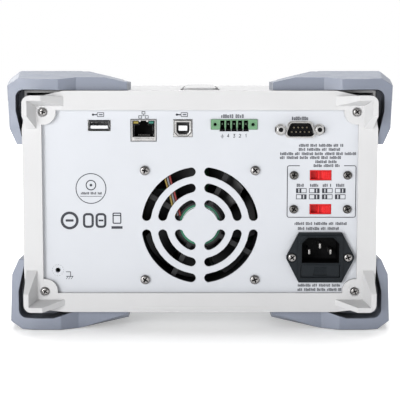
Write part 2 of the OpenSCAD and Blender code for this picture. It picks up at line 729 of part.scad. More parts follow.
// Places and sizes of the keys: x, z, width, height
function softkey(i) = [SOFTKEY_X[i], 70, 14, 7];
function channel_key(i) = [34, CHANNEL_Z[i], 17, 8];
OUTPUT_KEY = [OUTPUT[0], OUTPUT[1], 24, 9];
POWER_KEY = [POWER[0], POWER[1], 15, 15];
KEYS = concat([for (i = [0:4]) softkey(i)], [for (i = [0:1]) channel_key(i)], [OUTPUT_KEY, POWER_KEY]);

module front_bezel() {
    color("whitesmoke") difference() {
        along_y(y_front, y_front + bezel_d) translate([0, z_mid]) round_rect(body_w, body_h, 3);
        along_y(y_front + 3, y_front + bezel_d + 1) case_outline(3);
        translate([WINDOW[0], 0, WINDOW[1]]) {
            along_y(y_front - 1, y_front + 1.6) round_rect(window_size[0], window_size[1], 2);
            along_y(y_front - 1, y_front + 4) square([98, 56], center = true);
        }
        for (k = KEYS) translate([k[0], 0, k[1]]) along_y(y_front - 1, y_front + 4)
            round_rect(k[2] + 2 * key_slack, k[3] + 2 * key_slack, 1.6);
        for (x = POST_X) translate([x, 0, z_post]) along_y(y_front - 1, y_front + 4) circle(3.3);
        translate([KNOB[0], 0, KNOB[1]]) along_y(y_front - 1, y_front + 4) circle(3.6);
    }
}

module display_window() color("lightcyan") translate([WINDOW[0], 0, WINDOW[1]])
    along_y(y_front + 0.1, y_front + 1.5) round_rect(window_size[0] - 0.4, window_size[1] - 0.4, 1.8);

module display_module() color("dimgray") translate([WINDOW[0], 0, WINDOW[1]])
    along_y(y_front + 3.2, y_front + 9) square([105, 67], center = true);

module key(k, depth = 5) color("gray") translate([k[0], 0, k[1]]) {
    along_y(y_front - key_proud, y_front + 3.8) round_rect(k[2], k[3], 1.3);
    along_y(y_front + 3.6, y_front + depth) round_rect(k[2] + 2, k[3] + 2, 1.3);
}

module encoder_shaft() color("silver") translate([KNOB[0], y_front, KNOB[1]]) rotate([-90, 0, 0]) {
    translate([0, 0, -14]) cylinder(r = 3, h = 22);
    translate([0, 0, 7.8]) cylinder(r = 6, h = 2);
}

module knob() color("dimgray") translate([KNOB[0], y_front, KNOB[1]]) rotate([90, 0, 0]) difference() {
    union() {
        translate([0, 0, 2.4]) cylinder(r = 16, h = 3);
        translate([0, 0, 5.3]) cylinder(r = 14, h = 12.2);
    }
    translate([0, 0, 2]) cylinder(r = 3.05, h = 12.2);
    translate([0, 8.5, 16.9]) cylinder(r = 3.2, h = 2);
}

module post_bases() color("dimgray") for (x = POST_X) translate([x, y_front, z_post]) rotate([90, 0, 0])
    difference() {
        translate([0, 0, 0.05]) cylinder(r = 7.4, h = 2.4);
        cylinder(r = 3.2, h = 5);
    }

socket_r = 2.05;
module post_studs() color("gold") for (x = POST_X) translate([x, y_front, z_post]) rotate([90, 0, 0])
    difference() {
        union() {
            translate([0, 0, -16]) cylinder(r = 3, h = 31);
            translate([0, 0, -8.2]) cylinder(r = 5, h = 5, $fn = 6);
        }
        translate([0, 0, -5]) cylinder(r = socket_r, h = 21);
    }

module post_cap(i) color(["black", "red", "green", "black", "red"][i])
    translate([POST_X[i], y_front, z_post]) rotate([90, 0, 0]) difference() {
        union() {
            translate([0, 0, 2.6]) cylinder(r = 5.4, h = post_out - 2.6);
            translate([0, 0, 5]) cylinder(r = 6.6, h = post_out - 7);
        }
        translate([0, 0, 2]) cylinder(r = 3.1, h = 13.6);
        cylinder(r = 2.6, h = post_out + 1);
    }

// ---- one line for each node ----

top_cover();
chassis();
rear_frame();
rear_panel();
front_bezel();
display_window();
display_module();
for (end = SIDES, level = SIDES, side = SIDES) {
    name = str(end > 0 ? "rear" : "front", "_guard_", level > 0 ? "upper" : "lower", "_",
               side > 0 ? "right" : "left");
    corner_guard(end, level, side);
}
fan_housing();
fan_rotor();
fan_lead();
fan_screws();
frame_screws();
power_inlet();
inlet_blades();
inlet_screws();
fuse_drawer();
selector_bodies();
selector_slider(0);  // selector_slider_upper
selector_slider(1);  // selector_slider_lower
selector_screws();
usb_host_port();
lan_port();
usb_device_port();
io_terminal();
serial_port();
serial_jackscrews();
transformer();
main_board();
heat_sink();
control_board();
carry_handle();
foot_brackets();
tilt_foot(-1);  // tilt_foot_left
tilt_foot(1);  // tilt_foot_right
post_bases();
post_studs();
for (i = [0:4]) post_cap(i);
encoder_shaft();
knob();
key(POWER_KEY);  // power_button
key(OUTPUT_KEY);  // output_key
for (i = [0:4]) key(softkey(i));
for (i = [0:1]) key(channel_key(i));
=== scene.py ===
"""Looks of a bench power supply, built round its CAD frame.

The front faces -Y and the rear, which the camera sees, faces +Y. Lengths in this file are metres.
"""
import math

import bmesh
import bpy
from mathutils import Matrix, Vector
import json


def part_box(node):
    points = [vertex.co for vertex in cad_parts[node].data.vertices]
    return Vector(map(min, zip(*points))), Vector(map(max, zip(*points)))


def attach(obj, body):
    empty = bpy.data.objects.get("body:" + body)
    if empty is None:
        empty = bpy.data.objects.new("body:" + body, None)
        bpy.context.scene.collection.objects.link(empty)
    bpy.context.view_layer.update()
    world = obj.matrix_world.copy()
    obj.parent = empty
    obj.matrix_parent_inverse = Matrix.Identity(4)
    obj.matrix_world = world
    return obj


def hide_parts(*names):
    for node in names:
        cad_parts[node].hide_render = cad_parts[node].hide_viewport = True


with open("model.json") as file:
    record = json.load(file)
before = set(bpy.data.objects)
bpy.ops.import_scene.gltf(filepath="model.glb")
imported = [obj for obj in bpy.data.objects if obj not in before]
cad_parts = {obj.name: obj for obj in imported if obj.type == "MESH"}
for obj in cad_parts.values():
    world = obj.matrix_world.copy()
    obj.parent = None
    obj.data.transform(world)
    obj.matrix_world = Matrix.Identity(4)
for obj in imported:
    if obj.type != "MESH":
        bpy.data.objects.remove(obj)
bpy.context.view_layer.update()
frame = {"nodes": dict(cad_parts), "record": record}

MM = 0.001
SIDES = (-1, 1)
CASE = "case"

# ---- places, from the frame

Y_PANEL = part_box("rear_panel")[1].y         # rear panel's outer face
Y_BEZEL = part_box("front_bezel")[0].y        # bezel's face


def middle(node):
    """The middle of a node's box."""
    low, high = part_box(node)
    return (low + high) / 2


# ---- materials

MATERIALS = {}
PAINTED_SHADE_BLACK = (0.004, 0.005, 0.006)        # painted shade: the colour that deep narrow gaps are darkened towards


class Nodes:
    """A short way to write a node tree."""

    def __init__(self, tree):
        self.tree = tree

    def add(self, kind, **settings):
        """A new node of a kind, with some of its settings."""
        node = self.tree.nodes.new(kind)
        for key, value in settings.items():
            setattr(node, key, value)
        return node

    def link(self, source, target):
        self.tree.links.new(source, target)

    def spread(self, source, low, high, from_low=0.3, from_high=0.7):
        """source, rescaled to run from low to high."""
        node = self.add("ShaderNodeMapRange")
        limits = {"From Min": from_low, "From Max": from_high, "To Min": low, "To Max": high}
        for name, value in limits.items():
            node.inputs[name].default_value = value
        self.link(source, node.inputs["Value"])
        return node.outputs["Result"]

    def combine(self, operation, first, second):
        """Arithmetic on two sockets or numbers."""
        node = self.add("ShaderNodeMath", operation=operation)
        for socket, value in zip(node.inputs, (first, second)):
            if isinstance(value, float):
                socket.default_value = value
            else:
                self.link(value, socket)
        return node.outputs["Value"]


class Finish(Nodes):
    """A new material, kept in MATERIALS, and what its surface is made from."""

    def __init__(self, name):
        material = bpy.data.materials.new(name)
        material.use_nodes = True
        MATERIALS[name] = material
        super().__init__(material.node_tree)
        self.shader = self.tree.nodes["Principled BSDF"]
        self.place = self.add("ShaderNodeTexCoord").outputs["Object"]

    def set(self, name, value):
        """A number, a colour or a node's output for one of the shader's sockets."""
        socket = self.shader.inputs[name]
        if isinstance(value, tuple):
            socket.default_value = (*value, 1)
        elif isinstance(value, (int, float)):
            socket.default_value = value
        else:
            self.link(value, socket)

    def noise(self, size, detail=3.0, stretch=(1, 1, 1)):
        """Noise whose features are about size mm across."""
        mapping = self.add("ShaderNodeMapping")
        mapping.inputs["Scale"].default_value = stretch
        self.link(self.place, mapping.inputs["Vector"])
        noise = self.add("ShaderNodeTexNoise")
        for name, value in (("Scale", 1 / (size * MM)), ("Detail", detail), ("Roughness", 0.55)):
            noise.inputs[name].default_value = value
        self.link(mapping.outputs["Vector"], noise.inputs["Vector"])
        return noise.outputs["Fac"]

    def mix(self, factor, first, second):
        """A colour between first and second."""
        node = self.add("ShaderNodeMix", data_type="RGBA")
        self.link(factor, node.inputs["Factor"])
        for socket, value in ((node.inputs["A"], first), (node.inputs["B"], second)):
            if isinstance(value, tuple):
                socket.default_value = (*value, 1)
            else:
                self.link(value, socket)
        return node.outputs["Result"]

    def bump(self, source, height):
        """Relief of the given height in mm."""
        node = self.add("ShaderNodeBump")
        node.inputs["Distance"].default_value = height * MM
        self.link(source, node.inputs["Height"])
        return node.outputs["Normal"]

    def edges(self, radius):
        """1 on outer edges sharper than radius in mm, 0 on flat faces."""
        bevel = self.add("ShaderNodeBevel", samples=4)
        bevel.inputs["Radius"].default_value = radius * MM
        dot = self.add("ShaderNodeVectorMath", operation="DOT_PRODUCT")
        self.link(bevel.outputs["Normal"], dot.inputs[0])
        self.link(self.add("ShaderNodeNewGeometry").outputs["Normal"], dot.inputs[1])
        return self.spread(dot.outputs["Value"], 1, 0, 0.86, 0.995)


def shade(color, factor):
    """A colour made paler or darker."""
    return tuple(min(1.0, c * factor) for c in color)


def moulded(name, color, rough, grain, relief=0.02, wear=0.0, mottle=0.05, recess=0.0, gloss=0.5):
    """Moulded plastic or powder coat: fine grain, faint mottling, scuffs, edges rubbed paler, and painted
    shade in deep gaps.

    grain is the size and relief the height of its bumps, in mm. recess is how strongly deep narrow gaps
    are darkened with painted shade, found by ambient occlusion, and gloss the strength of its reflections.
    """
    n = Finish(name)
    base = n.mix(n.spread(n.noise(40), 0, 1), shade(color, 1 - mottle), shade(color, 1 + mottle * 0.6))
    if wear:
        rubbed = n.combine("MULTIPLY", n.edges(0.8), n.spread(n.noise(6, 5), 0, wear))
        base = n.mix(rubbed, base, shade(color, 1.35))
    # painted shade: where ambient occlusion finds a deep narrow gap, the colour is darkened towards black
    if recess:
        gap_shade_mask = n.add("ShaderNodeAmbientOcclusion", samples=6)
        gap_shade_mask.inputs["Distance"].default_value = 14 * MM
        base = n.mix(n.spread(gap_shade_mask.outputs["AO"], recess, 0, 0.1, 0.45), base, PAINTED_SHADE_BLACK)
    n.set("Base Color", base)
    n.set("Roughness", n.spread(n.noise(9, 6), rough - 0.07, rough + 0.09))
    n.set("Specular IOR Level", gloss)
    n.set("Normal", n.bump(n.noise(grain, 2), relief))


def metal(name, color, rough, brushed=None):
    """Bare or plated metal, a little tarnished, and brushed along an axis if one is given."""
    n = Finish(name)
    stretch = tuple(0.03 if axis == brushed else 1 for axis in range(3))
    n.set("Metallic", 1)
    n.set("Base Color", n.mix(n.spread(n.noise(7, 5), 0, 1), shade(color, 0.88), color))
    n.set("Roughness", n.spread(n.noise(3, 5, stretch), rough - 0.08, rough + 0.14))
    n.set("Normal", n.bump(n.noise(0.3, 3, stretch), 0.006))


def printed(name, color):
    """Screen-printed ink, a little uneven."""
    n = Finish(name)
    n.set("Base Color", n.mix(n.spread(n.noise(0.8), 0, 1), color, shade(color, 1.25)))
    n.set("Roughness", n.spread(n.noise(2), 0.45, 0.6))


def glowing(name, color, strength):
    """A lamp's lens, lit from inside."""
    n = Finish(name)
    n.set("Base Color", n.mix(n.noise(0.6), color, shade(color, 0.7)))
    n.set("Roughness", 0.25)
    n.set("Emission Color", color)
    n.set("Emission Strength", strength)


def window_glass(name):
    """A dark smooth window."""
    n = Finish(name)
    n.set("Base Color", n.mix(n.spread(n.noise(30, 4), 0, 1), (0.012, 0.015, 0.02), (0.018, 0.022, 0.028)))
    n.set("Roughness", n.spread(n.noise(12, 6), 0.05, 0.13))
    n.set("Coat Weight", 0.6)
    n.set("Coat Roughness", 0.04)


def make_materials():
    """Every material, by the name of the record's slot that it dresses or of what it is."""
    white = (0.485, 0.485, 0.49)
    moulded("cover_paint", shade(white, 0.92), 0.46, 0.5, 0.03, wear=0.15, mottle=0.02)
    moulded("panel_paint", (0.49, 0.505, 0.535), 0.5, 0.6, 0.012, mottle=0.02, gloss=0.3)
    moulded("frame_plastic", white, 0.42, 0.35, 0.014, wear=0.12, mottle=0.02)
    moulded("bezel_plastic", shade(white, 0.97), 0.45, 0.35, 0.014, wear=0.12, mottle=0.02)
    # the guards get painted shade in the deep gaps between them and the frame's corners
    moulded("guard_plastic", (0.18, 0.20, 0.25), 0.42, 0.45, 0.03, wear=0.3, recess=0.97)
    moulded("handle_plastic", shade(white, 0.93), 0.48, 0.4, wear=0.2, mottle=0.03)
    moulded("foot_plastic", (0.12, 0.13, 0.16), 0.5, 0.4, 0.03, wear=0.3, mottle=0.06)
    metal("bare_steel", (0.62, 0.63, 0.64), 0.38, brushed=0)
    metal("screw_steel", (0.30, 0.29, 0.285), 0.22)
    metal("screw_dark", (0.13, 0.125, 0.12), 0.22)

    moulded("fan_plastic", (0.007, 0.007, 0.008), 0.45, 0.4, wear=0.1, mottle=0.1, gloss=0.35)
    moulded("wire_jacket", (0.20, 0.015, 0.012), 0.4, 0.5, 0.01)
    moulded("wire_white", (0.17, 0.17, 0.18), 0.4, 0.5, 0.01)
    moulded("wire_yellow", (0.22, 0.15, 0.02), 0.4, 0.5, 0.01)
    printed("label_green", (0.008, 0.13, 0.065))
    printed("label_silver", (0.55, 0.55, 0.55))

    moulded("inlet_plastic", (0.004, 0.007, 0.010), 0.45, 0.4, wear=0.1, mottle=0.1, gloss=0.2)
    moulded("selector_red", (0.60, 0.010, 0.012), 0.42, 0.5, 0.01, wear=0.1, mottle=0.06, gloss=0.25)
    moulded("terminal_green", (0.115, 0.25, 0.13), 0.42, 0.5, 0.01, wear=0.2)
    # real black plastic for inserts and linings, and also painted shade in gap lines, bores, slots and screw
    # recesses
    moulded("recess_black", (0.002, 0.002, 0.0025), 0.55, 0.4, 0.01, gloss=0.1)
    moulded("socket_grey", (0.10, 0.10, 0.105), 0.4, 0.4, 0.01)
    moulded("white_nylon", (0.72, 0.73, 0.75), 0.4, 0.3, 0.005)
    metal("shell_metal", (0.46, 0.455, 0.45), 0.24)
    metal("blade_metal", (0.36, 0.35, 0.34), 0.3, brushed=1)
    metal("contact_gold", (0.42, 0.37, 0.27), 0.3)
    glowing("lamp_yellow", (0.26, 0.20, 0.03), 0.05)
    glowing("lamp_green", (0.02, 0.16, 0.12), 0.05)
    glowing("lamp_off", (0.05, 0.14, 0.06), 0.02)

    moulded("iron_core", (0.09, 0.055, 0.03), 0.5, 1, 0.05, wear=0.2, mottle=0.2)
    moulded("board_green", (0.015, 0.10, 0.04), 0.4, 1, 0.03, mottle=0.2)
    metal("sink_aluminium", (0.18, 0.18, 0.19), 0.42, brushed=1)
    metal("module_metal", (0.2, 0.2, 0.2), 0.4)

    moulded("post_base_plastic", (0.03, 0.03, 0.033), 0.42, 0.4, wear=0.2)
    metal("post_brass", (0.78, 0.58, 0.24), 0.22)
    moulded("cap_black", (0.012, 0.012, 0.013), 0.3, 0.4, 0.008, wear=0.2)
    moulded("cap_red", (0.50, 0.015, 0.012), 0.3, 0.4, 0.008, wear=0.12)
    moulded("cap_green", (0.015, 0.22, 0.06), 0.3, 0.4, 0.008, wear=0.12)
    metal("shaft_steel", (0.5, 0.5, 0.51), 0.3, brushed=1)
    moulded("knob_plastic", (0.09, 0.10, 0.12), 0.5, 0.35, wear=0.3)
    moulded("key_rubber", (0.17, 0.19, 0.23), 0.62, 0.35, wear=0.15)
    window_glass("window_glass")
    printed("display_line", (0.10, 0.11, 0.13))
    printed("ink_grey", (0.012, 0.014, 0.022))
    printed("ink_white", (0.62, 0.62, 0.62))


def smooth_by_angle():
    """A modifier's node group that shades smooth across edges of less than 35 degrees."""
    group = bpy.data.node_groups.new("smooth_by_angle", "GeometryNodeTree")
    for in_out in ("INPUT", "OUTPUT"):
        group.interface.new_socket("Geometry", in_out=in_out, socket_type="NodeSocketGeometry")
    n = Nodes(group)
    faces = n.add("GeometryNodeSetShadeSmooth", domain="FACE")
    faces.inputs["Shade Smooth"].default_value = True
    edges = n.add("GeometryNodeSetShadeSmooth", domain="EDGE")
    edges.inputs["Shade Smooth"].default_value = False
    sharp = n.add("FunctionNodeCompare", operation="GREATER_THAN")
    sharp.inputs["B"].default_value = math.radians(35)
    n.link(n.add("NodeGroupInput").outputs[0], faces.inputs["Geometry"])
    n.link(faces.outputs[0], edges.inputs["Geometry"])
    n.link(n.add("GeometryNodeInputMeshEdgeAngle").outputs["Unsigned Angle"], sharp.inputs["A"])
    n.link(sharp.outputs["Result"], edges.inputs["Selection"])
    n.link(edges.outputs[0], n.add("NodeGroupOutput").inputs[0])
    return group


SMOOTH = smooth_by_angle()


def finish_surface(obj, radius=0.0, segments=2):
    """Joins split vertices, rounds sharp edges by radius and shades smooth, large faces staying flat."""
    weld = obj.modifiers.new("weld", "WELD")
    weld.merge_threshold = 0.002 * MM
    if radius:
        bevel = obj.modifiers.new("round", "BEVEL")
        bevel.width = radius
        bevel.segments = segments
        bevel.limit_method = "ANGLE"
        bevel.angle_limit = math.radians(28)
        bevel.miter_outer = "MITER_ARC"
    smooth = obj.modifiers.new("smooth", "NODES")
    smooth.node_group = SMOOTH
    weights = obj.modifiers.new("flatten", "WEIGHTED_NORMAL")
    weights.keep_sharp = True
    weights.weight = 90


EDGE_RADIUS = {                             # mm, of the CAD nodes whose sharp edges are rounded
    "top_cover": 0.6, "chassis": 0.3, "rear_frame": 0.45, "rear_panel": 0.25, "front_bezel": 0.6,
    "fan_housing": 0.5, "power_inlet": 0.35, "fuse_drawer": 0.25, "lan_port": 0.15, "usb_host_port": 0.12,
    "usb_device_port": 0.15, "io_terminal": 0.15, "serial_jackscrews": 0.3, "carry_handle": 0.9,
    "foot_brackets": 0.4, "tilt_foot_left": 0.6, "tilt_foot_right": 0.6, "post_bases": 0.3,
    "knob": 0.6, "power_button": 0.4, "output_key": 0.4, "selector_bodies": 0.2, "inlet_blades": 0.3,
    "selector_slider_upper": 0.2, "selector_slider_lower": 0.2, "transformer": 1.0, "display_window": 0.2,
}
GUARD_RADIUS = 1.1
KEY_RADIUS = 0.4


def dress_cad_nodes():
    """Gives each CAD node its material, rounded edges and smooth shading."""
    slot_of = {part["node"]: part["material_slot"] for part in frame["record"]["subparts"]}
    for name, obj in frame["nodes"].items():
        obj.data.materials.clear()
        obj.data.materials.append(MATERIALS[slot_of[name]])
        radius = EDGE_RADIUS.get(name, 0)
        if "guard" in name:
            radius = GUARD_RADIUS
        if name.startswith(("softkey", "channel_key")):
            radius = KEY_RADIUS
        finish_surface(obj, radius * MM, 3 if radius > 0.8 else 2)


# ---- mesh code

def show(obj):
    """Puts a new object in the scene and returns it."""
    bpy.context.scene.collection.objects.link(obj)
    return obj


def on_rear(across, up, out):
    """A point on the rear panel, in mm: across runs to the right as seen from behind, up from the floor."""
    return Vector((-across * MM, Y_PANEL + out * MM, up * MM))


def on_front(across, up, out):
    """A point on the bezel, in mm: across runs to the right as seen from the front, up from the floor."""
    return Vector((across * MM, Y_BEZEL - out * MM, up * MM))


def rear_spot(node):
    """A node's middle, as across and up on the rear panel."""
    m = middle(node)
    return -m.x / MM, m.z / MM


def front_spot(node):
    """A node's middle, as across and up on the bezel."""
    m = middle(node)
    return m.x / MM, m.z / MM


def side_line(points, distance, closed):
    """The line at a distance to the left of a polyline, with mitred corners."""
    result = []
    for i, p in enumerate(points):
        ways = []
        if closed or i > 0:
            ways.append((p - points[i - 1]).normalized())
        if closed or i < len(points) - 1:
            ways.append((points[(i + 1) % len(points)] - p).normalized())
        lefts = [Vector((-way.y, way.x)) for way in ways]
        normal = sum(lefts, Vector((0, 0))).normalized()
        result.append(p + normal * distance / max(normal.dot(lefts[0]), 0.35))
    return result


def arc(centre, radius, steps=48, start=0.0, sweep=360.0):
    """Points round a circle, or along an arc of it where sweep is less than a full turn."""
    count = steps if sweep == 360 else steps + 1
    angles = [math.radians(start + sweep * i / steps) for i in range(count)]
    return [Vector((centre[0] + radius * math.cos(a), centre[1] + radius * math.sin(a))) for a in angles]


def round_box(centre, width, height, radius=0.0, steps=5):
    """The outline of a rectangle, with round corners if a radius is given."""
    x, y = width / 2 - radius, height / 2 - radius
    middles = [(centre[0] + cx, centre[1] + cy) for cx, cy in ((x, y), (-x, y), (-x, -y), (x, -y))]
    if radius == 0:
        return [Vector(corner) for corner in middles]
    points = []
    for quarter, corner in enumerate(middles):
        points += arc(corner, radius, steps=steps, start=quarter * 90, sweep=90)
    return points


def shifted(centre, outline, grow=(1, 1)):
    """An outline given round (0, 0), stretched by grow and moved to centre."""
    return [(centre[0] + x * grow[0], centre[1] + y * grow[1]) for x, y in outline]


class Piece:
    """A mesh made of closed shapes. place turns across, up and out, in mm, into a point in the frame."""

    def __init__(self, place):
        self.bm = bmesh.new()
        self.place = place
        self.paint = 0

    def loop(self, points, out):
        """A ring of new vertices at one level."""
        return [self.bm.verts.new(self.place(p[0], p[1], out)) for p in points]

    def face(self, verts):
        self.bm.faces.new(verts).material_index = self.paint

    def skin(self, loops, capped=True):
        """Faces between neighbouring loops, and caps on the first and the last."""
        for low, high in zip(loops, loops[1:]):
            for i in range(len(low)):
                j = (i + 1) % len(low)
                self.face((low[i], low[j], high[j], high[i]))
        if capped:
            self.face(loops[0][::-1])
            self.face(loops[-1])

    def prism(self, outline, low, high):
        """An outline made solid from low to high."""
        self.skin([self.loop(outline, low), self.loop(outline, high)])

    def pillow(self, outline, low, high, edge):
        """A prism whose top edge is rounded by edge; the outline runs anticlockwise."""
        outline = [Vector(p) for p in outline]
        loops = [self.loop(outline, low)]
        for step in range(4):
            a = math.radians(step * 30)
            inner = side_line(outline, edge * (1 - math.cos(a)), True)
            loops.append(self.loop(inner, high - edge * (1 - math.sin(a))))
        self.skin(loops)

    def line(self, points, width, low, high, closed=False):
        """A stroke of the given width along a polyline."""
        points = [Vector(p) for p in points]
        left = side_line(points, width / 2, closed)
        right = side_line(points, -width / 2, closed)
        if closed:
            section = ((left, low), (left, high), (right, high), (right, low))
            loops = [self.loop(outline, level) for outline, level in section]
            self.skin(loops + loops[:1], capped=False)
        else:
            self.prism(left + right[::-1], low, high)

    def cup(self, outline, low, high, wall):
        """A lining for a pocket, open at the top; the outline runs anticlockwise."""
        outline = [Vector(p) for p in outline]
        inner = side_line(outline, wall, True)
        self.skin([self.loop(outline, low), self.loop(outline, high), self.loop(inner, high),
                   self.loop(inner, low + wall)])

    def turned(self, centre, profile, steps=40, flutes=0, depth=0.0, closed=False):
        """A turned solid; profile is (radius, out) from the bottom up.

        A profile entry with a third value, True, is fluted by depth. A closed profile makes a ring with
        a bore.
        """
        loops = []
        for radius, out, *fluted in profile:
            ring = []
            for i in range(steps):
                a = 2 * math.pi * i / steps
                r = radius - (depth * (0.5 + 0.5 * math.cos(a * flutes)) ** 2 if fluted else 0)
                ring.append((centre[0] + r * math.cos(a), centre[1] + r * math.sin(a)))
            loops.append(self.loop(ring, out))
        if closed:
            self.skin(loops + loops[:1], capped=False)
        else:
            self.skin(loops)

    def finish(self, name, materials, body=CASE, radius=0.0, replaces=()):
        """Makes the object, which rides on body and may stand for CAD nodes."""
        bmesh.ops.recalc_face_normals(self.bm, faces=self.bm.faces)
        mesh = bpy.data.meshes.new(name)
        self.bm.to_mesh(mesh)
        self.bm.free()
        for material in materials:
            mesh.materials.append(MATERIALS[material])
        obj = show(bpy.data.objects.new(name, mesh))
        finish_surface(obj, radius * MM)
        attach(obj, body)
        if replaces:
            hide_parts(*replaces)


# ---- print on the rear panel

INK = (0.01, 0.06)                          # a print's lowest and highest level above its panel, mm
POLE = 3.81                                 # from pole to pole of the green terminal block, mm

DIGITS = {                                  # strokes on a field one wide and one high
    "1": [[(0.3, 0.75), (0.62, 1), (0.62, 0)]],
    "2": [[(0.05, 0.78), (0.25, 1), (0.75, 1), (0.95, 0.78), (0.95, 0.6), (0.05, 0), (1, 0)]],
    "3": [[(0.05, 1), (0.95, 1), (0.45, 0.6), (0.8, 0.55), (0.98, 0.28), (0.78, 0), (0.2, 0), (0.02, 0.2)]],
    "4": [[(0.72, 0), (0.72, 1), (0.02, 0.3), (1, 0.3)]],
}


def draw_digit(piece, digit, centre, height, stroke):
    """One of the generic numbers, in strokes."""
    width = height * 0.6
    for path in DIGITS[digit]:
        points = [(centre[0] + (x - 0.5) * width, centre[1] + (y - 0.5) * height) for x, y in path]
        piece.line(points, stroke, *INK)


def draw_dashes(piece, left, right, up, height=1.5, first=0):
    """A row of small bars in uneven groups, in place of a line of text: hollow, every fourth one solid."""
    groups = (6, 4, 8, 3, 7, 5)
    pitch = height * 0.62
    x = left
    group = first
    while x < right - pitch:
        count = groups[group % len(groups)]
        for i in range(count):
            if x > right - pitch * 0.6:
                break
            tall = height * (1 if (i + group) % 3 else 0.78)
            spot = (x + pitch * 0.33, up - (height - tall) / 2)
            if (i + 2 * group) % 4:
                piece.line(round_box(spot, pitch * 0.5, tall - pitch * 0.3), pitch * 0.32, *INK, closed=True)
            else:
                piece.prism(round_box(spot, pitch * 0.5, tall), *INK)
            x += pitch
        x += pitch * 0.9
        group += 1


def draw_connector_mark(piece, across, up):
    """A neutral mark of a cable's plug: a lead, a shell and its tongue."""
    piece.line(round_box((across + 0.9, up), 4.2, 2.5, 0.3), 0.42, *INK, closed=True)
    piece.prism(round_box((across + 1.1, up), 2.4, 0.7), *INK)
    piece.line([(across - 3.9, up), (across - 1.4, up)], 0.7, *INK)
    piece.prism(arc((across - 3.9, up), 0.75, 20), *INK)


def draw_network_mark(piece, across, up):
    """Three boxes joined by lines."""
    piece.line(round_box((across, up + 1.2), 1.9, 1.6), 0.4, *INK, closed=True)
    for side in SIDES:
        piece.line(round_box((across + side * 2.1, up - 1.5), 1.9, 1.6), 0.4, *INK, closed=True)
    piece.line([(across, up + 0.3), (across, up - 0.7), (across - 2.1, up - 0.7)], 0.3, *INK)
    piece.line([(across, up - 0.7), (across + 2.1, up - 0.7)], 0.3, *INK)


def draw_ground_mark(piece, across, up):
    """The sign of a chassis terminal: a lead and a bar with three slanted strokes."""
    piece.line([(across - 1.9, up + 2.2), (across + 1.1, up + 2.2), (across + 1.1, up - 0.6)], 0.42, *INK)
    piece.line([(across - 1.8, up - 0.8), (across + 2.9, up - 0.8)], 0.42, *INK)
    for i in range(3):
        x = across - 0.6 + i * 1.6
        piece.line([(x, up - 0.9), (x - 1.2, up - 2.6)], 0.36, *INK)


def selector_mark(piece, centre, lit_at):
    """A selector switch seen from behind, its slider drawn as two bars at one end, -1 left or 1 right."""
    width, height = 6.4, 2.8
    piece.line(round_box(centre, width, height), 0.42, *INK, closed=True)
    for x in (2.5, 0.6):
        piece.prism(round_box((centre[0] + lit_at * x, centre[1]), 1.25, height - 0.2), *INK)


def print_port_marks(p):
    """Marks and rows of dashes above the ports, and the terminal block's numbers."""
    port_line, terminal_line, serial_line = 140.6, 139.6, 138.2
    for node in ("usb_host_port", "usb_device_port"):
        draw_connector_mark(p, rear_spot(node)[0], port_line)
    draw_network_mark(p, rear_spot("lan_port")[0], port_line)

    io, io_up = rear_spot("io_terminal")
    draw_dashes(p, io - 8.4, io + 8.6, terminal_line, 2.2)
    for i, digit in enumerate("4321"):
        draw_digit(p, digit, (io + (i - 1) * POLE, io_up - 7.3), 2.0, 0.36)
    earth = io - 2 * POLE
    p.line([(earth, io_up - 6.2), (earth, io_up - 7.6)], 0.34, *INK)
    for i in range(3):
        half, up = 1.1 - 0.36 * i, io_up - 7.5 - 0.6 * i
        p.line([(earth - half, up), (earth + half, up)], 0.3, *INK)
    serial = rear_spot("serial_port")[0]
    draw_dashes(p, serial - 5.4, serial + 5.6, serial_line, 2.2, first=2)


def print_ground(p):
    """The chassis sign, and a ring of short strokes round the ground screw's hole."""
    hole = (-92.8, 39.2)
    draw_ground_mark(p, hole[0] + 7.1, hole[1] - 3.3)
    strokes = 14
    for i in range(strokes):
        p.line(arc(hole, 3.7, 2, i * 360 / strokes, 13), 0.16, *INK)


def print_selectors(p):
    """The selectors' frame, open at the top for its heading, and the drawings of their positions."""
    left, right, top, bottom, r = 56.6, 101.0, 107.6, 74.0, 1.2
    gap_left, gap_right = 64.6, 93.2
    first_column, pitch, text, upper_row, lower_row = 65.7, 8.43, 94.9, 91.4, 87.4
    p.line([(gap_left, top), (left + r, top), *arc((left + r, top - r), r, 4, 90, 90)[1:],
            *arc((left + r, bottom + r), r, 4, 180, 90), *arc((right - r, bottom + r), r, 4, 270, 90),
            *arc((right - r, top - r), r, 4, 0, 90), (gap_right, top)], 0.5, *INK)
    for column, (upper_end, lower_end) in enumerate(((-1, 1), (1, 1), (-1, -1), (1, -1))):
        x = first_column + column * pitch
        draw_dashes(p, x - 2.9, x + 3.3, text, 1.9, first=1 + column)
        selector_mark(p, (x, upper_row), upper_end)
        selector_mark(p, (x, lower_row), lower_end)


def print_rows(p):
    """Rows of dashes in place of lines of text: their left and right ends and their height."""
    above_selectors = ((63.9, 93.1, 120.8), (63.9, 91.7, 118.2), (51.8, 100.8, 115.4), (51.8, 91.2, 112.9))
    heading = ((74.6, 89.3, 110.2), (73.6, 90.8, 107.7))
    above_inlet = ((61.4, 95.8, 69.9), (63.8, 92.6, 66.7))
    below_inlet = ((63.9, 92.8, 29.2), (63.9, 92.8, 26.4))
    for i, (start, stop, up) in enumerate(above_selectors + heading + above_inlet + below_inlet):
        draw_dashes(p, start, stop, up, 1.75, first=i)


